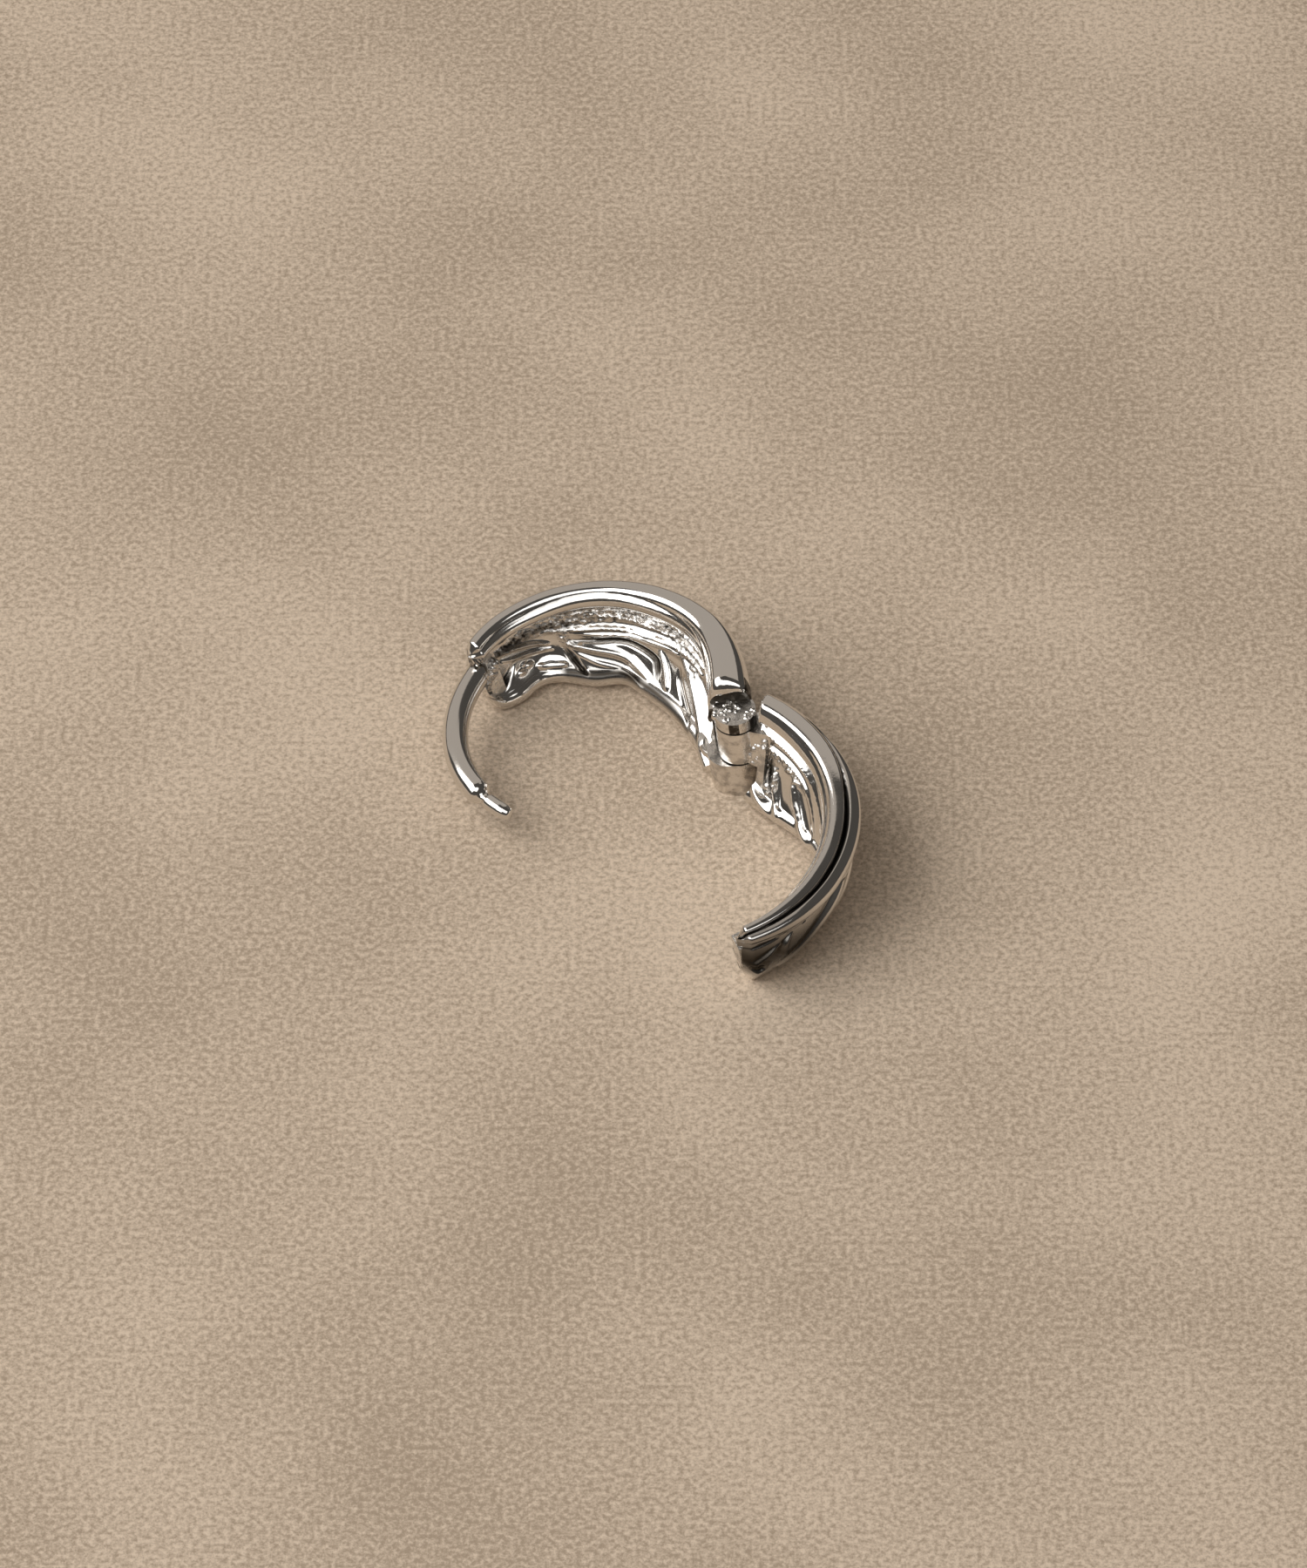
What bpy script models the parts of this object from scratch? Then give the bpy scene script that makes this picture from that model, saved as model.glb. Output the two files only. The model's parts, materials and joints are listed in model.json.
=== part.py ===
"""Hinged hoop earring, open and lying on its side. Metres, +Z up.

Two cast half shells with a hollow back meet at a hinge. The post half carries the ear post, the catch
half swings about a pin and takes the post's tip in a notch. Everything is shaped in the hoop's own
frame (centre of the closed hoop at the origin, hinge on +X, hoop axis on Z), then the catch half is
opened and the earring is laid down on its foot and the two free ends.
"""
import math

import bmesh
import bpy
import numpy as np
from mathutils import Matrix, Vector

# Band
HOOP_RADIUS = 0.00655
BAND_HALF_WIDTH = 0.00300
RIM_RADIUS = 0.00062
WALL = 0.00070
CROWN_RISE = 0.00070
FOLD_RISE = 0.00036
POST_HALF_ARC = math.radians(144)
CATCH_HALF_ARC = math.radians(142)
END_WALL = 0.00075

# Ear post
POST_RADIUS = 0.00052
POST_TIP_RADIUS = 0.00031
POST_GROOVE_RADIUS = 0.00024
POST_ROOT_INSET = 0.00047
POST_TIP_INSET = 0.00143
POST_HEIGHT = 0.00035
POST_ARC = math.radians(90)
POST_TIP_ARC = math.radians(17)

# Hinge
PIVOT_INSET = 0.00010
PIN_RADIUS = 0.00032
KNUCKLE_RADIUS = 0.00090
EAR_TOP = 0.00195
EAR_THICKNESS = 0.00060
BARREL_HEIGHT = 0.00190
FOOT_REACH = 0.00050
RUNNING_GAP = 0.00008
SIDE_GAP = 0.00010
OPEN_ANGLE = math.radians(74)
POST_SIDE_SLANT = math.radians(27)
SLANT_PLAY = math.radians(3)
POST_RIM_SETBACK = 0.00040
CATCH_RIM_SETBACK = 0.00130

# Catch and solder
CATCH_WALL = 0.00014
CATCH_GAP = 0.00012
LUG_SETBACK = 0.00010
SOLDER_RADIUS = 0.00026

# Lie on the table: how deep the foot stands at the hinge axis, how much is flattened, and the heading
FOOT_DEPTH = 0.00293
FLAT_DEPTH = 0.00004
FREE_END_CONTACT = 0.94
HEADING = math.radians(-3.3)

# Sections of a half, from hinge end to free end. Heights are shares of BAND_HALF_WIDTH, beads and
# shifts (outward) are shares of RIM_RADIUS, crown is a share of CROWN_RISE.
SECTION_COLUMNS = ("along", "top", "bottom", "top_bead", "bottom_bead", "top_shift", "bottom_shift", "crown")
POST_HALF_SECTIONS = (
    (0.00, 1.00, -0.94, 1.50, 0.90, -0.50, -1.60, 0.70),
    (0.08, 1.00, -0.93, 1.42, 0.85, -0.40, -2.20, 0.85),
    (0.30, 0.93, -0.90, 1.05, 0.75, 0.25, -2.50, 1.05),
    (0.46, 0.86, -0.86, 0.85, 0.72, 0.38, -2.10, 1.05),
    (0.54, 0.83, -0.83, 0.75, 0.68, 0.38, -1.60, 1.00),
    (0.63, 0.79, -0.82, 0.70, 0.70, 0.36, -1.90, 1.00),
    (0.80, 0.70, -0.76, 0.68, 0.66, 0.28, -1.10, 0.95),
    (0.89, 0.65, -0.75, 0.66, 0.66, 0.16, -1.60, 0.90),
    (0.95, 0.62, -0.73, 0.63, 0.64, -0.05, -1.35, 0.80),
    (1.00, 0.59, -0.56, 0.60, 0.60, -0.30, -1.00, 0.60),
)
CATCH_HALF_SECTIONS = (
    (0.00, 0.98, -0.90, 0.92, 0.85, 0.35, -1.40, 0.60),
    (0.10, 0.96, -0.89, 0.95, 0.80, 0.20, -2.00, 0.80),
    (0.20, 0.94, -0.88, 1.00, 0.75, 0.05, -2.20, 0.75),
    (0.35, 0.89, -0.86, 1.05, 0.72, 0.00, -1.70, 0.50),
    (0.52, 0.82, -0.82, 1.05, 0.72, -0.05, -1.30, 0.40),
    (0.68, 0.75, -0.77, 1.00, 0.70, -0.15, -1.75, 0.50),
    (0.76, 0.71, -0.74, 0.96, 0.66, -0.22, -2.10, 0.60),
    (0.88, 0.65, -0.71, 0.88, 0.68, -0.35, -1.70, 0.70),
    (1.00, 0.58, -0.66, 0.68, 0.62, -0.60, -1.25, 0.60),
)

# Folds of the relief: three path points (share along the half, height share of the local half width),
# half width as a share of BAND_HALF_WIDTH, rise as a share of FOLD_RISE.
FOLD_COLUMNS = ("along_1", "height_1", "along_2", "height_2", "along_3", "height_3", "half_width", "rise")
POST_HALF_FOLDS = (
    (0.95, 0.42, 0.45, 0.60, 0.24, 0.28, 0.17, 0.75),
    (0.42, 0.16, 0.22, 0.14, 0.02, -0.85, 0.30, 1.10),
    (0.92, 0.05, 0.68, -0.05, 0.44, -0.85, 0.28, 1.00),
    (1.00, -0.30, 0.86, -0.40, 0.70, -0.80, 0.24, 0.90),
)
CATCH_HALF_FOLDS = (
    (0.06, 0.50, 0.50, 0.60, 1.00, 0.00, 0.22, 1.00),
    (0.06, 0.05, 0.24, 0.10, 0.52, -0.75, 0.28, 1.00),
    (0.50, 0.00, 0.66, -0.20, 0.86, -0.85, 0.28, 1.05),
)

# Hinge axis
PIVOT_TO_CENTRE = HOOP_RADIUS - PIVOT_INSET

# Mesh density
RINGS = 70
SIDE_POINTS = 17
LIP_POINTS = 3
TUBE_SIDES = 14
KNUCKLE_SIDES = 28
PATH_SAMPLES = 40
NOTCH_POINTS = 8


def clear_scene():
    for item in list(bpy.data.objects):
        bpy.data.objects.remove(item, do_unlink=True)


def make_material(name, colour, roughness):
    material = bpy.data.materials.new(name)
    material.use_nodes = True
    shader = material.node_tree.nodes["Principled BSDF"]
    shader.inputs["Base Color"].default_value = (*colour, 1.0)
    shader.inputs["Roughness"].default_value = roughness
    shader.inputs["Metallic"].default_value = 1.0
    return material


def make_object(name, points, faces, material=None):
    mesh = bpy.data.meshes.new(name)
    mesh.from_pydata([tuple(p) for p in points], [], faces)
    work = bmesh.new()
    work.from_mesh(mesh)
    bmesh.ops.recalc_face_normals(work, faces=work.faces)
    if work.calc_volume(signed=True) < 0:
        bmesh.ops.reverse_faces(work, faces=work.faces)
    bmesh.ops.triangulate(work, faces=work.faces)
    work.to_mesh(mesh)
    work.free()
    item = bpy.data.objects.new(name, mesh)
    bpy.context.scene.collection.objects.link(item)
    if material:
        mesh.materials.append(material)
    return item


def combine(target, operation, tool):
    """Apply one exact boolean to the target's mesh and delete the tool."""
    step = target.modifiers.new("step", 'BOOLEAN')
    step.operation = operation
    step.solver = 'EXACT'
    step.object = tool
    bpy.context.view_layer.update()
    result = bpy.data.meshes.new_from_object(target.evaluated_get(bpy.context.evaluated_depsgraph_get()))
    target.modifiers.remove(step)
    old = target.data
    target.data = result
    result.name = target.name
    bpy.data.meshes.remove(old)
    bpy.data.objects.remove(tool, do_unlink=True)


def column(rows, names, wanted, share):
    """Smooth value of one named column of a table at a share along it."""
    place = names.index(wanted)
    xs = np.array([row[0] for row in rows])
    ys = np.array([row[place] for row in rows])
    slopes = np.gradient(ys, xs)
    share = np.clip(share, 0.0, 1.0)
    i = np.clip(np.searchsorted(xs, share, side='right') - 1, 0, len(xs) - 2)
    step = xs[i + 1] - xs[i]
    t = (share - xs[i]) / step
    start = ys[i] * (1 + 2 * t) * (1 - t) ** 2 + slopes[i] * step * t * (1 - t) ** 2
    end = ys[i + 1] * t ** 2 * (3 - 2 * t) - slopes[i + 1] * step * t ** 2 * (1 - t)
    return start + end


def section(rows, share):
    """Spine points, outward normals and half thickness of one section, top bead first."""
    value = {name: float(column(rows, SECTION_COLUMNS, name, share)) for name in SECTION_COLUMNS[1:]}
    top_bead = value["top_bead"] * RIM_RADIUS
    bottom_bead = value["bottom_bead"] * RIM_RADIUS
    top = np.array([HOOP_RADIUS + value["top_shift"] * RIM_RADIUS, value["top"] * BAND_HALF_WIDTH - top_bead])
    bottom = np.array([HOOP_RADIUS + value["bottom_shift"] * RIM_RADIUS,
                       value["bottom"] * BAND_HALF_WIDTH + bottom_bead])
    t = np.linspace(0, 1, SIDE_POINTS)
    t = t - 0.55 * np.sin(2 * np.pi * t) / (2 * np.pi)
    spine = top[None, :] * (1 - t[:, None]) + bottom[None, :] * t[:, None]
    spine[:, 0] += value["crown"] * CROWN_RISE * (1 - np.abs(2 * t - 1) ** 2.6)
    tangent = np.gradient(spine, t, axis=0)
    tangent /= np.linalg.norm(tangent, axis=1)[:, None]
    normal = np.stack([-tangent[:, 1], tangent[:, 0]], axis=1)
    run = np.concatenate([[0], np.cumsum(np.linalg.norm(np.diff(spine, axis=0), axis=1))])
    top_lump = np.sqrt(np.clip(top_bead ** 2 - run ** 2, 0, None))
    bottom_lump = np.sqrt(np.clip(bottom_bead ** 2 - (run[-1] - run) ** 2, 0, None))
    half = np.maximum(np.maximum(top_lump, bottom_lump), WALL / 2)
    return spine, normal, tangent, half, run, (top_bead, bottom_bead)


def fold_height(folds, arc, share, heights):
    """Relief at points of one section: 0 between the folds, up to a fold's rise on its crest."""
    relief = np.zeros(len(heights))
    length = arc * HOOP_RADIUS
    t = np.linspace(0, 1, PATH_SAMPLES)
    for row in folds:
        fold = dict(zip(FOLD_COLUMNS, row))
        along = (1 - t) ** 2 * fold["along_1"] + 2 * t * (1 - t) * fold["along_2"] + t ** 2 * fold["along_3"]
        height = (1 - t) ** 2 * fold["height_1"] + 2 * t * (1 - t) * fold["height_2"] + t ** 2 * fold["height_3"]
        gap_along = (share - along)[None, :] * length
        gap_height = (heights[:, None] - height[None, :]) * BAND_HALF_WIDTH
        gap = np.hypot(gap_along, gap_height)
        taper = np.clip(4 * t * (1 - t), 0, 1) ** 0.5
        reach = fold["half_width"] * BAND_HALF_WIDTH * (0.35 + 0.65 * taper)
        crest = np.cos(np.clip(gap / reach[None, :], 0, 1) * np.pi / 2) ** 2 * (0.4 + 0.6 * taper)[None, :]
        relief = np.maximum(relief, crest.max(axis=1) * fold["rise"])
    return relief * FOLD_RISE


def shell_section(rows, folds, arc, share):
    """Closed outline of the hollow-backed band, as (radius, height) points, outer side first."""
    spine, normal, tangent, half, run, beads = section(rows, share)
    local = np.abs(np.where(spine[:, 1] > 0, spine[0, 1] + beads[0], spine[-1, 1] - beads[1]))
    relief = fold_height(folds, arc, share, spine[:, 1] / local)
    clear_top = np.clip((run - 0.75 * beads[0]) / (0.5 * beads[0]), 0, 1)
    clear_bottom = np.clip((run[-1] - run - 0.4 * beads[1]) / (0.6 * beads[1]), 0, 1)
    relief = relief * clear_top * clear_bottom
    outer = spine + normal * (half + relief)[:, None]
    inner = spine - normal * (half - relief)[:, None]
    lips = []
    for end, sign in ((-1, 1), (0, -1)):
        angles = np.linspace(0, np.pi, LIP_POINTS + 2)[1:-1]
        out = normal[end] * (1 if end == -1 else -1)
        lip = spine[end] + half[end] * (np.cos(angles)[:, None] * out + np.sin(angles)[:, None] * tangent[end] * sign)
        lips.append(lip)
    return np.vstack([outer, lips[0], inner[::-1], lips[1]])


def place(outline, angle):
    return np.stack([outline[:, 0] * math.cos(angle), outline[:, 0] * math.sin(angle), outline[:, 1]], axis=1)


def loft(name, outlines, angles, material=None):
    """Solid through closed outlines set at angles round the hoop axis."""
    count = len(outlines[0])
    points = np.vstack([place(outline, angle) for outline, angle in zip(outlines, angles)])
    faces = []
    for ring in range(len(outlines) - 1):
        for i in range(count):
            j = (i + 1) % count
            faces.append((ring * count + i, ring * count + j, (ring + 1) * count + j, (ring + 1) * count + i))
    faces.append(tuple(range(count)))
    faces.append(tuple(range(len(points) - count, len(points))))
    return make_object(name, points, faces, material)


def half_shell(name, rows, folds, arc, side, material):
    shares = np.linspace(0, 1, RINGS)
    outlines = [shell_section(rows, folds, arc, share) for share in shares]
    return loft(name, outlines, side * arc * shares, material)


def end_wall(rows, arc, side, first, last, reach):
    """Wall across the hollow, from a share along the half to another, reaching inward past the beads."""
    outlines = []
    shares = np.linspace(first, last, 3)
    for share in shares:
        spine = section(rows, share)[0]
        inside = spine[[-1, 0]] - np.array([reach, 0])
        outlines.append(np.vstack([spine, inside]))
    return loft("end wall", outlines, side * arc * shares)


def tube(name, centres, radii, material=None):
    """Round bar through centres with a radius at each, flat at both ends."""
    centres = [Vector(centre) for centre in centres]
    radii = [float(radius) for radius in radii]
    points = []
    faces = []
    for i, (centre, radius) in enumerate(zip(centres, radii)):
        ahead = centres[min(i + 1, len(centres) - 1)] - centres[max(i - 1, 0)]
        ahead.normalize()
        side = ahead.cross(Vector((0, 0, 1))).normalized()
        up = side.cross(ahead)
        for k in range(TUBE_SIDES):
            turn = 2 * math.pi * k / TUBE_SIDES
            points.append(centre + radius * (math.cos(turn) * side + math.sin(turn) * up))
    for i in range(len(centres) - 1):
        for k in range(TUBE_SIDES):
            n = (k + 1) % TUBE_SIDES
            a = i * TUBE_SIDES
            faces.append((a + k, a + n, a + TUBE_SIDES + n, a + TUBE_SIDES + k))
    faces.append(tuple(range(TUBE_SIDES)))
    faces.append(tuple(range(len(points) - TUBE_SIDES, len(points))))
    return make_object(name, points, faces, material)


def post_point(angle):
    """Middle of the ear post at an angle round the hoop."""
    share = (angle - POST_HALF_ARC) / POST_ARC
    radius = HOOP_RADIUS - POST_ROOT_INSET - (POST_TIP_INSET - POST_ROOT_INSET) * max(share, 0) ** 0.8
    return Vector((radius * math.cos(angle), radius * math.sin(angle), POST_HEIGHT))


def ear_post():
    """Curved bar with a grooved, thinner tip that the catch holds."""
    root = POST_HALF_ARC - 0.8 * END_WALL / HOOP_RADIUS
    tip_end = POST_HALF_ARC + POST_ARC
    tip_start = tip_end - POST_TIP_ARC
    groove = 0.25 * POST_TIP_ARC
    centres = []
    radii = []
    rounding = ((0.0, 0.45), (0.35, 0.80), (0.8, 0.97))
    for depth, share in rounding:
        centres.append(post_point(root + depth * POST_RADIUS / HOOP_RADIUS))
        radii.append(share * POST_RADIUS)
    for angle in np.linspace(root + 1.3 * POST_RADIUS / HOOP_RADIUS, tip_start - groove, 16):
        centres.append(post_point(angle))
        radii.append(POST_RADIUS)
    stops = ((tip_start - 0.4 * groove, 0.80 * POST_RADIUS), (tip_start, POST_GROOVE_RADIUS),
             (tip_start + 0.5 * groove, POST_GROOVE_RADIUS), (tip_start + groove, POST_TIP_RADIUS),
             (tip_start + 2.4 * groove, POST_TIP_RADIUS), (tip_end - 0.4 * groove, 0.9 * POST_TIP_RADIUS),
             (tip_end, 0.62 * POST_TIP_RADIUS))
    for angle, radius in stops:
        centres.append(post_point(angle))
        radii.append(radius)
    return tube("ear post", centres, radii)


def solder_strip():
    """Lump of solder from the post's root down to the lower rim."""
    arc = POST_HALF_ARC - np.array([1.7, 1.2, 0.8, 0.5]) * END_WALL / HOOP_RADIUS
    heights = POST_HEIGHT - np.array([0.2, 0.8, 1.5, 2.2]) * POST_RADIUS
    radii = SOLDER_RADIUS * np.array([0.8, 1.1, 1.0, 0.7])
    middle = HOOP_RADIUS - 0.7 * RIM_RADIUS
    centres = [(middle * math.cos(a), middle * math.sin(a), z) for a, z in zip(arc, heights)]
    return tube("solder", centres, radii)


def upright_cylinder(name, radius, low, high, material=None):
    """Cylinder on the hinge axis."""
    turns = [2 * math.pi * (k + 0.5) / KNUCKLE_SIDES for k in range(KNUCKLE_SIDES)]
    ring = [(PIVOT_TO_CENTRE + radius * math.cos(t), radius * math.sin(t)) for t in turns]
    return prism(name, ring, low, high, material)


def prism(name, ring, low, high, material=None):
    count = len(ring)
    points = [(x, y, low) for x, y in ring] + [(x, y, high) for x, y in ring]
    faces = [(i, (i + 1) % count, count + (i + 1) % count, count + i) for i in range(count)]
    faces.append(tuple(range(count)))
    faces.append(tuple(range(count, 2 * count)))
    return make_object(name, points, faces, material)


def swing_relief(side, slant):
    """Cutter that leaves a half's end face clear of the other, and slants it from the hinge axis outward."""
    reach = 3 * KNUCKLE_RADIUS + CROWN_RISE + RIM_RADIUS
    gap = SIDE_GAP / 2
    inner = PIVOT_TO_CENTRE - 4 * KNUCKLE_RADIUS
    ring = [(inner, -side * 4 * gap), (inner, side * gap), (PIVOT_TO_CENTRE, side * gap),
            (PIVOT_TO_CENTRE + reach * math.cos(slant), side * (gap + reach * math.sin(slant))),
            (PIVOT_TO_CENTRE + reach, -side * 4 * gap)]
    return prism("relief", ring, -2 * BAND_HALF_WIDTH, 2 * BAND_HALF_WIDTH)


def rounded_foot(name, radius, low, high):
    """Lower ear: the knuckle's round plus the same round set inward under the lower rim, as one prism."""
    ring = []
    for k in range(KNUCKLE_SIDES + 1):
        turn = math.pi / 2 + math.pi * k / KNUCKLE_SIDES
        ring.append((PIVOT_TO_CENTRE - FOOT_REACH + radius * math.cos(turn), radius * math.sin(turn)))
    for k in range(KNUCKLE_SIDES + 1):
        turn = -math.pi / 2 + math.pi * k / KNUCKLE_SIDES
        ring.append((PIVOT_TO_CENTRE + radius * math.cos(turn), radius * math.sin(turn)))
    return prism(name, ring, low, high)


def hinge_block(low, high):
    """Block behind the knuckles that joins both ears to the post half."""
    far = KNUCKLE_RADIUS + END_WALL
    left = PIVOT_TO_CENTRE - 1.15 * KNUCKLE_RADIUS
    right = PIVOT_TO_CENTRE + 0.6 * KNUCKLE_RADIUS
    near = 0.3 * KNUCKLE_RADIUS
    return prism("block", [(left, near), (right, near), (right, far), (left, far)], low, high)


def barrel_web(low, high):
    """Web that joins the barrel to the end wall of the catch half."""
    far = -(KNUCKLE_RADIUS + END_WALL)
    left = PIVOT_TO_CENTRE - 0.55 * KNUCKLE_RADIUS
    right = PIVOT_TO_CENTRE + 0.55 * KNUCKLE_RADIUS
    near = -0.47 * KNUCKLE_RADIUS
    return prism("web", [(left, near), (right, near), (right, far), (left, far)], low, high)


def knuckle_levels():
    """Bottom and top of the lower ear, the barrel and the upper ear."""
    upper = (EAR_TOP - EAR_THICKNESS, EAR_TOP)
    barrel = (upper[0] - SIDE_GAP - BARREL_HEIGHT, upper[0] - SIDE_GAP)
    lower = (-FOOT_DEPTH - 0.2 * KNUCKLE_RADIUS, barrel[0] - SIDE_GAP)
    return lower, barrel, upper


def post_half(material):
    lower, barrel, upper = knuckle_levels()
    body = half_shell("post_half", POST_HALF_SECTIONS, POST_HALF_FOLDS, POST_HALF_ARC, 1, material)
    wall = END_WALL / (HOOP_RADIUS * POST_HALF_ARC)
    clear = (KNUCKLE_RADIUS + END_WALL) / (HOOP_RADIUS * POST_HALF_ARC)
    combine(body, 'UNION', end_wall(POST_HALF_SECTIONS, POST_HALF_ARC, 1, 0.01, clear, 0.2 * RIM_RADIUS))
    combine(body, 'UNION', end_wall(POST_HALF_SECTIONS, POST_HALF_ARC, 1, 1 - wall, 0.995, 0.1 * RIM_RADIUS))
    combine(body, 'UNION', ear_post())
    combine(body, 'UNION', solder_strip())
    combine(body, 'UNION', hinge_block(WALL - FOOT_DEPTH, upper[1] - 0.3 * EAR_THICKNESS))
    combine(body, 'DIFFERENCE', swing_relief(1, POST_SIDE_SLANT))
    combine(body, 'DIFFERENCE', rim_setback(1, POST_RIM_SETBACK, upper[1]))
    combine(body, 'UNION', rounded_foot("foot", KNUCKLE_RADIUS, *lower))
    combine(body, 'UNION', upright_cylinder("ear", KNUCKLE_RADIUS, *upper))
    pocket = upright_cylinder("pocket", KNUCKLE_RADIUS + SIDE_GAP, barrel[0] - SIDE_GAP, barrel[1] + SIDE_GAP)
    combine(body, 'DIFFERENCE', pocket)
    hole = upright_cylinder("pin hole", PIN_RADIUS + RUNNING_GAP, WALL - FOOT_DEPTH, upper[1] + SIDE_GAP)
    combine(body, 'DIFFERENCE', hole)
    press_flat(body, Matrix.Identity(4))
    return body


def across_post(name, outline, length):
    """Bar along the closed post's tip, from its outline as (inward, up) steps from the post's middle."""
    angle = POST_HALF_ARC + POST_ARC - 0.72 * POST_TIP_ARC
    middle = post_point(angle)
    ahead = (post_point(angle + 0.1) - post_point(angle - 0.1)).normalized()
    inward = Vector((-middle.x, -middle.y, 0)).normalized()
    corners = []
    for step in (-0.5, 0.5):
        base = middle + ahead * step * length
        for deep, rise in outline:
            corners.append(base + inward * deep + Vector((0, 0, rise)))
    count = len(outline)
    faces = [(i, (i + 1) % count, count + (i + 1) % count, count + i) for i in range(count)]
    faces.append(tuple(range(count)))
    faces.append(tuple(range(count, 2 * count)))
    return make_object(name, corners, faces)


def catch_lug():
    """Thickening of the end wall round the notch."""
    half = POST_TIP_RADIUS + CATCH_GAP + CATCH_WALL
    inner = -LUG_SETBACK
    outer = -POST_TIP_INSET + RIM_RADIUS / 2
    outline = ((outer, -half), (inner - 0.5 * half, -half), (inner, -0.6 * half), (inner, 0.6 * half),
               (inner - 0.3 * half, half), (outer, half))
    return across_post("lug", outline, 1.13 * END_WALL)


def catch_notch():
    """Round-backed groove for the post's tip, open toward the hoop's middle."""
    half = POST_TIP_RADIUS + CATCH_GAP
    outline = []
    for turn in np.linspace(-math.pi / 2, math.pi / 2, NOTCH_POINTS):
        outline.append((-half * math.cos(turn), half * math.sin(turn)))
    outline += [(POST_RADIUS, half), (POST_RADIUS, -half)]
    return across_post("notch", outline, 4 * END_WALL)


def rim_setback(side, setback, low):
    """Cutter above a level that ends a half's upper rim short of the hinge line."""
    ring = [(0, side * setback), (2 * HOOP_RADIUS, side * setback), (2 * HOOP_RADIUS, -side * RIM_RADIUS),
            (0, -side * RIM_RADIUS)]
    return prism("setback", ring, low, 2 * BAND_HALF_WIDTH)


def catch_half(material):
    lower, barrel, upper = knuckle_levels()
    body = half_shell("catch_half", CATCH_HALF_SECTIONS, CATCH_HALF_FOLDS, CATCH_HALF_ARC, -1, material)
    wall = END_WALL / (HOOP_RADIUS * CATCH_HALF_ARC)
    clear = (KNUCKLE_RADIUS + END_WALL) / (HOOP_RADIUS * CATCH_HALF_ARC)
    combine(body, 'UNION', end_wall(CATCH_HALF_SECTIONS, CATCH_HALF_ARC, -1, 0.01, clear, 0.2 * RIM_RADIUS))
    combine(body, 'DIFFERENCE', swing_relief(-1, OPEN_ANGLE - POST_SIDE_SLANT + SLANT_PLAY))
    combine(body, 'DIFFERENCE', rim_setback(-1, CATCH_RIM_SETBACK, upper[0] - SIDE_GAP))
    foot = rounded_foot("foot room", KNUCKLE_RADIUS + 2 * SIDE_GAP, 2 * lower[0], lower[1] + SIDE_GAP)
    combine(body, 'DIFFERENCE', foot)
    combine(body, 'UNION', barrel_web(*barrel))
    combine(body, 'UNION', upright_cylinder("barrel", KNUCKLE_RADIUS, *barrel))
    combine(body, 'DIFFERENCE', upright_cylinder("pin hole", PIN_RADIUS + RUNNING_GAP, lower[0], upper[1]))
    combine(body, 'UNION', end_wall(CATCH_HALF_SECTIONS, CATCH_HALF_ARC, -1, 1 - wall, 0.995, 0.1 * RIM_RADIUS))
    combine(body, 'UNION', catch_lug())
    combine(body, 'DIFFERENCE', catch_notch())
    press_flat(body, opening_turn())
    return body


def hinge_pin(material):
    lower, _, upper = knuckle_levels()
    low = WALL - FOOT_DEPTH + SIDE_GAP
    return upright_cylinder("hinge_pin", PIN_RADIUS, low, upper[1] - 0.5 * SIDE_GAP, material)


def opening_turn():
    """Swing of the catch half from closed to open, about the hinge axis."""
    hinge = Matrix.Translation((PIVOT_TO_CENTRE, 0, 0))
    return hinge @ Matrix.Rotation(OPEN_ANGLE, 4, 'Z') @ hinge.inverted()


def low_point(rows, arc, side):
    """Lowest point of a closed half near its free end."""
    spine, _, _, _, _, beads = section(rows, FREE_END_CONTACT)
    angle = side * arc * FREE_END_CONTACT
    return Vector((spine[-1, 0] * math.cos(angle), spine[-1, 0] * math.sin(angle), spine[-1, 1] - beads[1]))


def table_plane():
    """Point and upward normal of the table under the foot and the two free ends, with the earring open."""
    foot = Vector((PIVOT_TO_CENTRE, 0, -FOOT_DEPTH))
    far = low_point(POST_HALF_SECTIONS, POST_HALF_ARC, 1)
    near = opening_turn() @ low_point(CATCH_HALF_SECTIONS, CATCH_HALF_ARC, -1)
    normal = (far - foot).cross(near - foot).normalized()
    return foot + normal * FLAT_DEPTH, normal


def press_flat(item, turn):
    """Flatten what would stand below the table once the item has swung by a turn."""
    point, normal = table_plane()
    for vertex in item.data.vertices:
        opened = turn @ vertex.co
        below = (point - opened).dot(normal)
        if below > 0:
            vertex.co = turn.inverted() @ (opened + below * normal)


def lay_down(frame, items):
    """Turn the whole earring onto the table and put the middle of its footprint over the origin."""
    level = table_plane()[1].rotation_difference(Vector((0, 0, 1))).to_matrix().to_4x4()
    frame.matrix_world = Matrix.Rotation(HEADING, 4, 'Z') @ level
    bpy.context.view_layer.update()
    points = np.array([item.matrix_world @ v.co for item in items for v in item.data.vertices])
    low = points.min(axis=0)
    middle = (low + points.max(axis=0)) / 2
    frame.matrix_world = Matrix.Translation((-middle[0], -middle[1], -low[2])) @ frame.matrix_world


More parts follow.
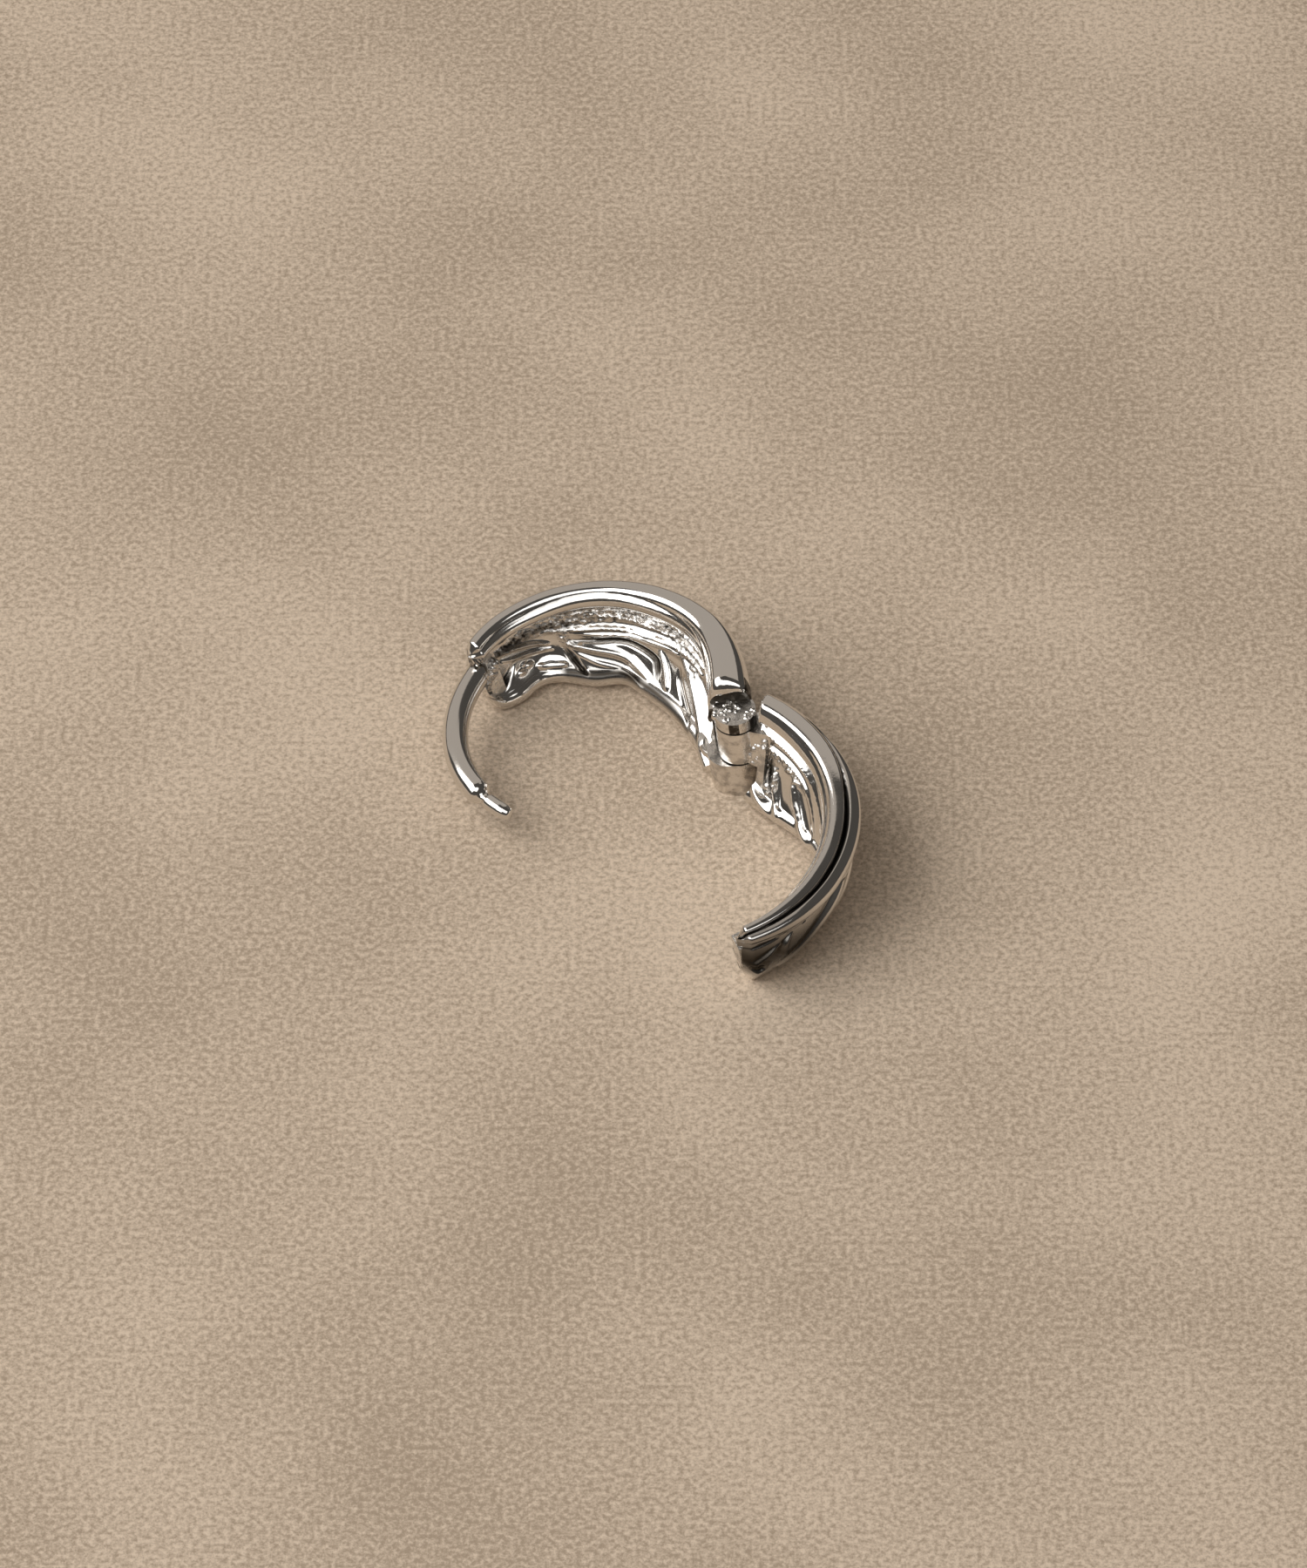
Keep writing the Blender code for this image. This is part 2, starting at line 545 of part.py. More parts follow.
def build():
    clear_scene()
    silver = make_material("plated silver tone", (0.78, 0.76, 0.74), 0.14)
    steel = make_material("hinge pin steel", (0.62, 0.61, 0.60), 0.25)
    frame = bpy.data.objects.new("earring_frame", None)
    axis = bpy.data.objects.new("hinge_axis", None)
    for empty in (frame, axis):
        bpy.context.scene.collection.objects.link(empty)
    axis.parent = frame
    axis.location = (PIVOT_TO_CENTRE, 0, 0)
    fixed = post_half(silver)
    swinging = catch_half(silver)
    pin = hinge_pin(steel)
    for item in (fixed, pin):
        item.parent = frame
    swinging.parent = axis
    swinging.data.transform(Matrix.Translation((-PIVOT_TO_CENTRE, 0, 0)))
    axis.rotation_euler.z = OPEN_ANGLE
    items = (fixed, swinging, pin)
    lay_down(frame, items)
    for item in items:
        item.data.shade_smooth()
        item.data.set_sharp_from_angle(angle=math.radians(35))


build()
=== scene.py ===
"""Looks of the hinged hoop earring: polished silver-tone shells with a rough-cast hollow back, on a plain table."""
import json
import math

import bmesh
import bpy
import numpy as np
from mathutils import Matrix, Vector


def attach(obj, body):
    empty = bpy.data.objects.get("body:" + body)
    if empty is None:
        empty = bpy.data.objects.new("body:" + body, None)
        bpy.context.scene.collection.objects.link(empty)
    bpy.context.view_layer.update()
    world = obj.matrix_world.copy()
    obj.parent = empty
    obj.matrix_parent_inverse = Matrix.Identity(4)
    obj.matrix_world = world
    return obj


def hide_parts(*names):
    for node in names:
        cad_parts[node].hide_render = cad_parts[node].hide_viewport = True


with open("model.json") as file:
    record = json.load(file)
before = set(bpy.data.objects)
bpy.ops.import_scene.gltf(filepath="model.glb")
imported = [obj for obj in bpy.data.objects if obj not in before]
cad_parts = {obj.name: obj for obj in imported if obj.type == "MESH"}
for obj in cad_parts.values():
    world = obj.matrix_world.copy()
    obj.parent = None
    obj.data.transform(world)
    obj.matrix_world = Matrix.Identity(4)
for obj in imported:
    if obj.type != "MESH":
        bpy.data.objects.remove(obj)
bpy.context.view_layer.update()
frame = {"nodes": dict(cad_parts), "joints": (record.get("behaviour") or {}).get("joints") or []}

# Band. The free end is beveled, and rounded at its lower corner.
HOOP_RADIUS = 0.00655
BAND_HALF_WIDTH = 0.00300
RIM_RADIUS = 0.00062
WALL = 0.00070
CROWN_RISE = 0.00070
POST_HALF_ARC = math.radians(144)
CATCH_HALF_ARC = math.radians(142)
END_WALL = 0.00075
CROWN_POWER = 2.6
SIDE_CROWDING = 0.55
END_BEVEL = 0.00046
LOW_CORNER = 0.00085
LOW_CORNER_SPAN = (0.55, 0.95)
END_PLATE_INSET = 1.2 * END_BEVEL
# Squareness of the rims' outline and how far it leans outward
POST_LIP_SHAPE = (2.8, math.radians(7))
CATCH_LIP_SHAPE = (3.2, math.radians(14))
LOW_LIP_SHAPE = (2.2, 0)

# Ear post
POST_RADIUS = 0.00052
POST_TIP_RADIUS = 0.00031
POST_GROOVE_RADIUS = 0.00024
POST_ROOT_INSET = 0.00047
POST_TIP_INSET = 0.00143
POST_HEIGHT = 0.00035
POST_ARC = math.radians(90)
POST_CURL = 0.8
POST_TIP_ARC = math.radians(17)
POST_SCALE = 1.06
TIP_SCALE = 1.09 * POST_SCALE
# Thickness along the post, as steps from a start and shares of a radius
POST_ROOT_KEYS = ((0, 0.45), (0.35, 0.80), (0.8, 0.97), (1.3, 1.0))
POST_NECK_KEYS = ((-1.1, 1.0), (-0.7, 0.95), (-0.4, 0.80), (-0.15, 0.58))
POST_GROOVE_KEYS = ((0.1, 1.0), (0.4, 1.0))
POST_TIP_KEYS = ((0.8, 0.97), (1.2, 1.0), (2.6, 1.0))
POST_END_KEYS = ((-0.7, 0.92), (-0.15, 0.72), (0, 0.5))

# Hinge
PIVOT_INSET = 0.00010
PIN_RADIUS = 0.00032
KNUCKLE_RADIUS = 0.00090
EAR_TOP = 0.00195
EAR_THICKNESS = 0.00060
BARREL_HEIGHT = 0.00190
FOOT_REACH = 0.00050
RUNNING_GAP = 0.00008
SIDE_GAP = 0.00010
OPEN_ANGLE = math.radians(74)
POST_SIDE_SLANT = math.radians(27)
SLANT_PLAY = math.radians(3)
POST_RIM_SETBACK = 0.00040
CATCH_RIM_SETBACK = 0.00130
PIVOT_TO_CENTRE = HOOP_RADIUS - PIVOT_INSET
# Where a rim starts at the hinge, and the radii that round its inner and outer edge there
POST_RIM_START = (POST_RIM_SETBACK, 0.00062, 0.00030)
CATCH_RIM_START = (CATCH_RIM_SETBACK, 0.00012, 0.00012)
# Blocks that join the knuckles to the halves: left, right and near side in knuckle radii from the axis
HINGE_BLOCK = (-1.15, 0.6, 0.3)
BARREL_WEB = (-0.55, 0.55, 0.47)
# Corner cut off the web: its right side, its near side and its width in knuckle radii
WEB_CORNER = (0.62, 0.80, 0.9)
# Direction in which the hinge is open to the front, and the lowest wall of its gaps that gets painted shade
GAP_FRONT = (-0.34, -0.94)
GAP_FLOOR = -0.0016

# Catch and solder
CATCH_WALL = 0.00014
CATCH_GAP = 0.00012
LUG_SETBACK = 0.00010
SOLDER_RADIUS = 0.00026
# Solder under the post's root: end walls back from the free end, post radii down, share of SOLDER_RADIUS
SOLDER_STEPS = ((1.7, 0.2, 0.8), (1.2, 0.8, 1.1), (0.8, 1.5, 1.0), (0.5, 2.2, 0.7))
# Solder drops beside the foot: centre in the hoop's frame and radius, in mm
FOOT_SOLDER = (
    (4.78, 0.72, -1.42, 0.16), (4.98, 0.34, -1.30, 0.20), (5.24, 0.04, -1.12, 0.17), (5.52, -0.34, -1.00, 0.17),
    (5.76, -0.58, -0.98, 0.14), (6.02, -0.74, -1.02, 0.14), (6.30, -0.82, -1.04, 0.09),
)

# Lie on the table: how deep the foot stands at the hinge axis, how much is flattened, and the heading
FOOT_DEPTH = 0.00293
FLAT_DEPTH = 0.00004
FREE_END_CONTACT = 0.94
HEADING = math.radians(-3.3)

# Sections of a half, from hinge end to free end. Heights are shares of BAND_HALF_WIDTH, beads and
# shifts (outward) are shares of RIM_RADIUS, crown is a share of CROWN_RISE.
SECTION_COLUMNS = ("along", "top", "bottom", "top_bead", "bottom_bead", "top_shift", "bottom_shift", "crown")
POST_HALF_SECTIONS = (
    (0.00, 1.00, -0.94, 1.50, 0.90, -0.50, -1.60, 0.70),
    (0.08, 1.00, -0.93, 1.42, 0.85, -0.40, -2.20, 0.85),
    (0.30, 0.93, -0.90, 1.05, 0.75, 0.25, -2.50, 1.05),
    (0.46, 0.86, -0.86, 0.85, 0.72, 0.38, -2.10, 1.05),
    (0.54, 0.83, -0.83, 0.75, 0.68, 0.38, -1.60, 1.00),
    (0.63, 0.79, -0.82, 0.70, 0.70, 0.36, -1.90, 1.00),
    (0.80, 0.70, -0.76, 0.68, 0.66, 0.28, -1.10, 0.95),
    (0.89, 0.65, -0.75, 0.66, 0.66, 0.16, -1.60, 0.90),
    (0.95, 0.62, -0.73, 0.63, 0.64, -0.05, -1.35, 0.80),
    (1.00, 0.59, -0.56, 0.60, 0.60, -0.30, -1.00, 0.60),
)
CATCH_HALF_SECTIONS = (
    (0.00, 0.98, -0.90, 0.92, 0.85, 0.35, -1.40, 0.60),
    (0.10, 0.96, -0.89, 0.95, 0.80, 0.20, -2.00, 0.80),
    (0.20, 0.94, -0.88, 1.00, 0.75, 0.05, -2.20, 0.75),
    (0.35, 0.89, -0.86, 1.05, 0.72, 0.00, -1.70, 0.50),
    (0.52, 0.82, -0.82, 1.05, 0.72, -0.05, -1.30, 0.40),
    (0.68, 0.75, -0.77, 1.00, 0.70, -0.15, -1.75, 0.50),
    (0.76, 0.71, -0.74, 0.96, 0.66, -0.22, -2.10, 0.60),
    (0.88, 0.65, -0.71, 0.88, 0.68, -0.35, -1.70, 0.70),
    (1.00, 0.58, -0.66, 0.68, 0.62, -0.60, -1.25, 0.60),
)

# Bottom and top of the upper ear, the barrel and the foot
EAR_LEVELS = (EAR_TOP - EAR_THICKNESS, EAR_TOP)
BARREL_LEVELS = (EAR_LEVELS[0] - SIDE_GAP - BARREL_HEIGHT, EAR_LEVELS[0] - SIDE_GAP)
FOOT_LEVELS = (-FOOT_DEPTH - 0.2 * KNUCKLE_RADIUS, BARREL_LEVELS[0] - SIDE_GAP)

# Surface: width that a share across stands for, casting grain, ripple, and how tarnish gathers in the hollows
SIDE_SPAN = 0.0055
GRAIN_SIZE = 0.00016
GRAIN_RISE = 0.000065
RIPPLE_SIZE = 0.0011
RIPPLE_RISE = 0.000012
PATINA_REACH = 14
PATINA_DEPTH = 0.00007
RISE_BLUR = 2
RIM_SPAN = 0.16
MILLIMETRE = 0.001

# Mesh density
RINGS = 300
AROUND = 256
SIDE_POINTS = 121
TUBE_SIDES = 48
KNUCKLE_SIDES = 64
PATH_SAMPLES = 48
NOTCH_POINTS = 14
LIP_STEPS = 26
FINE_STEPS = 4
SMOOTH_ANGLE = math.radians(40)


def make_object(name, points, faces):
    mesh = bpy.data.meshes.new(name)
    mesh.from_pydata([tuple(p) for p in points], [], faces)
    work = bmesh.new()
    work.from_mesh(mesh)
    bmesh.ops.recalc_face_normals(work, faces=work.faces)
    if work.calc_volume(signed=True) < 0:
        bmesh.ops.reverse_faces(work, faces=work.faces)
    bmesh.ops.triangulate(work, faces=work.faces)
    return bmesh_object(name, work, mesh)


def bmesh_object(name, work, mesh=None):
    """Object of a finished bmesh, in a mesh of its own or the one given."""
    mesh = mesh or bpy.data.meshes.new(name)
    work.to_mesh(mesh)
    work.free()
    item = bpy.data.objects.new(name, mesh)
    bpy.context.scene.collection.objects.link(item)
    return item


def combine(target, operation, tool):
    """Apply one exact boolean to the target's mesh and delete the tool."""
    step = target.modifiers.new("step", 'BOOLEAN')
    step.operation = operation
    step.solver = 'EXACT'
    step.object = tool
    bpy.context.view_layer.update()
    result = bpy.data.meshes.new_from_object(target.evaluated_get(bpy.context.evaluated_depsgraph_get()))
    target.modifiers.remove(step)
    old = target.data
    target.data = result
    result.name = target.name
    bpy.data.meshes.remove(old)
    bpy.data.objects.remove(tool, do_unlink=True)


def column(rows, wanted, share):
    """Smooth value of one named column of a table of sections at a share along it."""
    place = SECTION_COLUMNS.index(wanted)
    xs = np.array([row[0] for row in rows])
    ys = np.array([row[place] for row in rows])
    slopes = np.gradient(ys, xs)
    share = np.clip(share, 0.0, 1.0)
    i = np.clip(np.searchsorted(xs, share, side='right') - 1, 0, len(xs) - 2)
    step = xs[i + 1] - xs[i]
    t = (share - xs[i]) / step
    start = ys[i] * (1 + 2 * t) * (1 - t) ** 2 + slopes[i] * step * t * (1 - t) ** 2
    end = ys[i + 1] * t ** 2 * (3 - 2 * t) - slopes[i + 1] * step * t ** 2 * (1 - t)
    return start + end


def section(rows, share):
    """Spine points, outward normals and half thickness of one section, top bead first."""
    value = {name: float(column(rows, name, share)) for name in SECTION_COLUMNS[1:]}
    top_bead = value["top_bead"] * RIM_RADIUS
    bottom_bead = value["bottom_bead"] * RIM_RADIUS
    top = np.array([HOOP_RADIUS + value["top_shift"] * RIM_RADIUS, value["top"] * BAND_HALF_WIDTH - top_bead])
    bottom = np.array([HOOP_RADIUS + value["bottom_shift"] * RIM_RADIUS,
                       value["bottom"] * BAND_HALF_WIDTH + bottom_bead])
    t = np.linspace(0, 1, SIDE_POINTS)
    t = t - SIDE_CROWDING * np.sin(2 * np.pi * t) / (2 * np.pi)
    spine = top[None, :] * (1 - t[:, None]) + bottom[None, :] * t[:, None]
    spine[:, 0] += value["crown"] * CROWN_RISE * (1 - np.abs(2 * t - 1) ** CROWN_POWER)
    tangent = np.gradient(spine, t, axis=0)
    tangent /= np.linalg.norm(tangent, axis=1)[:, None]
    normal = np.stack([-tangent[:, 1], tangent[:, 0]], axis=1)
    run = np.concatenate([[0], np.cumsum(np.linalg.norm(np.diff(spine, axis=0), axis=1))])
    top_lump = np.sqrt(np.clip(top_bead ** 2 - run ** 2, 0, None))
    bottom_lump = np.sqrt(np.clip(bottom_bead ** 2 - (run[-1] - run) ** 2, 0, None))
    half = np.maximum(np.maximum(top_lump, bottom_lump), WALL / 2)
    return spine, normal, tangent, half, run, (top_bead, bottom_bead)


def place(outline, angle):
    """Points of an outline set at an angle round the hoop axis."""
    return np.stack([outline[:, 0] * math.cos(angle), outline[:, 0] * math.sin(angle), outline[:, 1]], axis=1)


def ring_solid(name, rings):
    """Solid through rings of equally many points, closed at both ends."""
    count = len(rings[0])
    points = [point for ring in rings for point in ring]
    faces = []
    for start in range(0, len(points) - count, count):
        for i in range(count):
            j = (i + 1) % count
            faces.append((start + i, start + j, start + count + j, start + count + i))
    faces.append(tuple(range(count)))
    faces.append(tuple(range(len(points) - count, len(points))))
    return make_object(name, points, faces)


def end_wall(rows, arc, side, first, last, reach):
    """Wall across the hollow, from a share along the half to another, reaching inward past the beads."""
    outlines = []
    shares = np.linspace(first, last, 3)
    for share in shares:
        spine = section(rows, share)[0]
        inside = spine[[-1, 0]] - np.array([reach, 0])
        outlines.append(np.vstack([spine, inside]))
    return ring_solid("end wall", [place(outline, angle) for outline, angle in zip(outlines, side * arc * shares)])


def tube(name, centres, radii):
    """Round bar through centres with a radius at each, flat at both ends."""
    centres = [Vector(centre) for centre in centres]
    turns = [2 * math.pi * k / TUBE_SIDES for k in range(TUBE_SIDES)]
    rings = []
    for i, (centre, radius) in enumerate(zip(centres, radii)):
        ahead = centres[min(i + 1, len(centres) - 1)] - centres[max(i - 1, 0)]
        ahead.normalize()
        side = ahead.cross(Vector((0, 0, 1))).normalized()
        up = side.cross(ahead)
        rings.append([centre + float(radius) * (math.cos(turn) * side + math.sin(turn) * up) for turn in turns])
    return ring_solid(name, rings)


def post_point(angle):
    """Middle of the ear post at an angle round the hoop."""
    share = (angle - POST_HALF_ARC) / POST_ARC
    radius = HOOP_RADIUS - POST_ROOT_INSET - (POST_TIP_INSET - POST_ROOT_INSET) * max(share, 0) ** POST_CURL
    return Vector((radius * math.cos(angle), radius * math.sin(angle), POST_HEIGHT))


def solder_strip():
    """Lump of solder from the post's root down to the lower rim."""
    back, down, thick = np.array(SOLDER_STEPS).T
    angles = POST_HALF_ARC - back * END_WALL / HOOP_RADIUS
    middle = HOOP_RADIUS - 0.7 * RIM_RADIUS
    heights = POST_HEIGHT - down * POST_RADIUS
    centres = [(middle * math.cos(a), middle * math.sin(a), z) for a, z in zip(angles, heights)]
    return tube("solder", centres, SOLDER_RADIUS * thick)


def upright_cylinder(name, radius, low, high):
    """Cylinder on the hinge axis."""
    turns = [2 * math.pi * (k + 0.5) / KNUCKLE_SIDES for k in range(KNUCKLE_SIDES)]
    ring = [(PIVOT_TO_CENTRE + radius * math.cos(t), radius * math.sin(t)) for t in turns]
    return prism(name, ring, low, high)


def prism(name, ring, low, high):
    """Upright solid over a ring of points."""
    return ring_solid(name, [[(x, y, level) for x, y in ring] for level in (low, high)])


def swing_relief(side, slant):
    """Cutter that leaves a half's end face clear of the other, and slants it from the hinge axis outward."""
    reach = 3 * KNUCKLE_RADIUS + CROWN_RISE + RIM_RADIUS
    gap = SIDE_GAP / 2
    inner = PIVOT_TO_CENTRE - 4 * KNUCKLE_RADIUS
    ring = [(inner, -side * 4 * gap), (inner, side * gap), (PIVOT_TO_CENTRE, side * gap),
            (PIVOT_TO_CENTRE + reach * math.cos(slant), side * (gap + reach * math.sin(slant))),
            (PIVOT_TO_CENTRE + reach, -side * 4 * gap)]
    return prism("relief", ring, -2 * BAND_HALF_WIDTH, 2 * BAND_HALF_WIDTH)


def rounded_foot(name, radius, low, high):
    """Lower ear: the knuckle's round plus the same round set inward under the lower rim, as one prism."""
    ring = []
    for start, middle in ((math.pi / 2, PIVOT_TO_CENTRE - FOOT_REACH), (-math.pi / 2, PIVOT_TO_CENTRE)):
        for k in range(KNUCKLE_SIDES + 1):
            turn = start + math.pi * k / KNUCKLE_SIDES
            ring.append((middle + radius * math.cos(turn), radius * math.sin(turn)))
    return prism(name, ring, low, high)


def joining_block(name, side, shape, low, high):
    """Block from a knuckle to the end wall of a half."""
    left, right = (PIVOT_TO_CENTRE + share * KNUCKLE_RADIUS for share in shape[:2])
    near, far = side * shape[2] * KNUCKLE_RADIUS, side * (KNUCKLE_RADIUS + END_WALL)
    return prism(name, [(left, near), (right, near), (right, far), (left, far)], low, high)


def across_post(name, outline, length):
    """Bar along the closed post's tip, from its outline as (inward, up) steps from the post's middle."""
    angle = POST_HALF_ARC + POST_ARC - 0.72 * POST_TIP_ARC
    middle = post_point(angle)
    ahead = (post_point(angle + 0.1) - post_point(angle - 0.1)).normalized()
    inward = Vector((-middle.x, -middle.y, 0)).normalized()
    ends = [middle + ahead * step * length for step in (-0.5, 0.5)]
    return ring_solid(name, [[end + inward * deep + Vector((0, 0, rise)) for deep, rise in outline] for end in ends])


def catch_lug():
    """Thickening of the end wall round the notch."""
    half = POST_TIP_RADIUS + CATCH_GAP + CATCH_WALL
    inner = -LUG_SETBACK
    outer = -POST_TIP_INSET + RIM_RADIUS / 2
    outline = ((outer, -half), (inner - 0.5 * half, -half), (inner, -0.6 * half), (inner, 0.6 * half),
               (inner - 0.3 * half, half), (outer, half))
    return across_post("lug", outline, 1.13 * END_WALL)


def catch_notch():
    """Round-backed groove for the post's tip, open toward the hoop's middle."""
    half = POST_TIP_RADIUS + CATCH_GAP
    turns = np.linspace(-math.pi / 2, math.pi / 2, NOTCH_POINTS)
    outline = [(-half * math.cos(turn), half * math.sin(turn)) for turn in turns]
    outline += [(POST_RADIUS, half), (POST_RADIUS, -half)]
    return across_post("notch", outline, 4 * END_WALL)


def rim_setback(side, setback, low):
    """Cutter above a level that ends a half's upper rim short of the hinge line."""
    ring = [(0, side * setback), (2 * HOOP_RADIUS, side * setback), (2 * HOOP_RADIUS, -side * RIM_RADIUS),
            (0, -side * RIM_RADIUS)]
    return prism("setback", ring, low, 2 * BAND_HALF_WIDTH)


def opening_turn():
    """Swing of the catch half from closed to open, about the hinge axis."""
    hinge = Matrix.Translation((PIVOT_TO_CENTRE, 0, 0))
    return hinge @ Matrix.Rotation(OPEN_ANGLE, 4, 'Z') @ hinge.inverted()


def low_point(rows, arc, side):
    """Lowest point of a closed half near its free end."""
    spine, _, _, _, _, beads = section(rows, FREE_END_CONTACT)
    angle = side * arc * FREE_END_CONTACT
    return Vector((spine[-1, 0] * math.cos(angle), spine[-1, 0] * math.sin(angle), spine[-1, 1] - beads[1]))


def table_plane():
    """Point and upward normal of the table under the foot and the two free ends, with the earring open."""
    foot = Vector((PIVOT_TO_CENTRE, 0, -FOOT_DEPTH))
    far = low_point(POST_HALF_SECTIONS, POST_HALF_ARC, 1)
    near = opening_turn() @ low_point(CATCH_HALF_SECTIONS, CATCH_HALF_ARC, -1)
    normal = (far - foot).cross(near - foot).normalized()
    return foot + normal * FLAT_DEPTH, normal


def press_flat(item, turn):
    """Flatten what would stand below the table once the item has swung by a turn."""
    point, normal = table_plane()
    for vertex in item.data.vertices:
        opened = turn @ vertex.co
        below = (point - opened).dot(normal)
        if below > 0:
            vertex.co = turn.inverted() @ (opened + below * normal)


def hoop_turn():
    """Place of the hoop's own frame on the table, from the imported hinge."""
    level = table_plane()[1].rotation_difference(Vector((0, 0, 1))).to_matrix()
    turn = Matrix.Rotation(HEADING, 3, 'Z') @ level
    hinge = Vector(frame["joints"][0]["pos_m"])
    return Matrix.Translation(hinge - turn @ Vector((PIVOT_TO_CENTRE, 0, 0))) @ turn.to_4x4()


def squared_lip(turns, start, along, power, lean):
    """Unit steps round a lip from one direction over another, squared up in a frame that leans outward."""
    steps = np.cos(turns)[:, None] * start + np.sin(turns)[:, None] * along
    across = steps[:, 0] * math.cos(lean) - steps[:, 1] * math.sin(lean)
    upward = steps[:, 0] * math.sin(lean) + steps[:, 1] * math.cos(lean)
    factor = (np.abs(across) ** power + np.abs(upward) ** power) ** (-1 / power)
    return steps * (1 + (factor - 1) * np.sin(turns) ** 0.7)[:, None]


def fine_outline(rows, share, lip_shape):
    """Dense outline of one section: points, outward normals, side flag, and share across from the top rim."""
    spine, normal, tangent, half, run, _ = section(rows, share)
    span = run[-1]
    turns = np.linspace(0, np.pi, LIP_STEPS)[1:-1]
    fold = np.minimum(turns, np.pi - turns) / span
    across_low = spine[-1] + half[-1] * squared_lip(turns, normal[-1], tangent[-1], *LOW_LIP_SHAPE)
    across_top = spine[0] + half[0] * squared_lip(turns, -normal[0], -tangent[0], *lip_shape)
    ring = np.vstack([spine + normal * half[:, None], across_low, (spine - normal * half[:, None])[::-1], across_top])
    share_across = np.concatenate([run / span, 1 + half[-1] * fold, (run / span)[::-1], -half[0] * fold])
    ones, zeros = np.ones(len(run)), np.zeros(len(run))
    show = np.concatenate([ones, turns < np.pi / 2, zeros, turns > np.pi / 2])
    closed = np.vstack([ring, ring[:1]])
    steps = np.concatenate([[0], np.cumsum(np.linalg.norm(np.diff(closed, axis=0), axis=1))])
    even = np.linspace(0, steps[-1], FINE_STEPS * AROUND, endpoint=False)
    q = np.interp(even, steps, np.append(share_across, share_across[0]))
    is_outer = np.interp(even, steps, np.append(show, show[0])) > 0.5
    ring = np.stack([np.interp(even, steps, closed[:, 0]), np.interp(even, steps, closed[:, 1])], axis=1)
    for _ in range(3):
        ring = (np.roll(ring, 1, axis=0) + 2 * ring + np.roll(ring, -1, axis=0)) / 4
    ahead = np.roll(ring, -1, axis=0) - np.roll(ring, 1, axis=0)
    ahead /= np.linalg.norm(ahead, axis=1)[:, None]
    out = np.stack([-ahead[:, 1], ahead[:, 0]], axis=1)
    pick = np.arange(AROUND) * FINE_STEPS
    return ring[pick], out[pick], is_outer[pick], q[pick]


def smooth_path(points, samples):
    """Points of a row-wise Catmull-Rom curve through the given rows."""
    rows = np.array(points, float)
    padded = np.vstack([2 * rows[0] - rows[1], rows, 2 * rows[-1] - rows[-2]])
    t = np.linspace(0, len(rows) - 1 - 1e-9, samples)
    i = t.astype(int)
    f = (t - i)[:, None]
    a, b, c, d = padded[i], padded[i + 1], padded[i + 2], padded[i + 3]
    return 0.5 * (2 * b + (c - a) * f + (2 * a - 5 * b + 4 * c - d) * f ** 2 + (3 * b - a - 3 * c + d) * f ** 3)


def shelf(x):
    """Slope that rises toward the lower rim and drops off there."""
    rising = np.clip((x + 1) / 1.5, 0, 1)
    falling = np.sqrt(np.clip(1 - ((x - 0.5) / 0.5) ** 2, 0, None))
    return np.where(x < 0.5, rising, falling)


def plateau(x):
    """Even top with round edges, a little higher toward the lower rim."""
    return (0.62 + 0.38 * x) * np.sqrt(np.clip(1 - x ** 4, 0, None))


def leaf(x):
    """Smooth ramp nearly to the lower edge, with a round drop there."""
    rising = np.clip((x + 1) / 1.7, 0, 1)
    falling = np.sqrt(np.clip(1 - ((x - 0.7) / 0.3) ** 2, 0, None))
    return np.where(x < 0.7, rising, falling)


# Height across a stroke against the share of its half width, positive toward the lower rim.
PROFILES = {
    "round": lambda x: np.sqrt(np.clip(1 - x ** 2, 0, None)),
    "soft": lambda x: np.cos(np.clip(np.abs(x), 0, 1) * np.pi / 2) ** 2,
    "vee": lambda x: np.clip(1 - np.abs(x), 0, None) ** 1.3,
    "shelf": shelf,
    "plateau": plateau,
    "leaf": leaf,
}


def stroke_field(profile, path, along, across):
    """Height of one stroke over a map of one side."""
    best = np.zeros_like(along)
    for (a0, c0, w0, h0), (a1, c1, w1, h1) in zip(path[:-1], path[1:]):
        da, dc = a1 - a0, c1 - c0
        span = max(da * da + dc * dc, 1e-18)
        reach = 1.1 * max(w0, w1)
        near = np.abs(along - (a0 + a1) / 2) < abs(da) / 2 + reach
        near &= np.abs(across - (c0 + c1) / 2) < abs(dc) / 2 + reach
        if not near.any():
            continue
        x, y = along[near], across[near]
        t = np.clip(((x - a0) * da + (y - c0) * dc) / span, 0, 1)
        gap = np.hypot(x - a0 - t * da, y - c0 - t * dc)
        gap = np.copysign(gap, ((y - c0) * da - (x - a0) * dc) * (1 if da >= 0 else -1))
        width = np.maximum(w0 + (w1 - w0) * t, 1e-6)
        value = PROFILES[profile](gap / width) * np.abs(h0 + (h1 - h0) * t)
        best[near] = np.maximum(best[near], value)
    return best


def relief_field(strokes, along, across, arc):
    """Ridges less grooves of one side's strokes."""
    ridge = np.zeros_like(along)
    groove = np.zeros_like(along)
    scale = np.array([arc * HOOP_RADIUS, SIDE_SPAN, MILLIMETRE, MILLIMETRE])
    for profile, points in strokes:
        rows = np.array(points) / 100
        field = stroke_field(profile, smooth_path(rows, PATH_SAMPLES) * scale, along, across)
        if rows[:, 3].sum() >= 0:
            ridge = np.maximum(ridge, field)
        else:
            groove = np.maximum(groove, field)
    return ridge - groove


def both_sides(strokes, outer, along, across, arc):
    """Relief of a table's strokes over a half, where outer tells the show side from the hollow."""
    show = relief_field(strokes.get("out", ()), along, across, arc)
    return np.where(outer, show, relief_field(strokes.get("in", ()), along, across, arc))


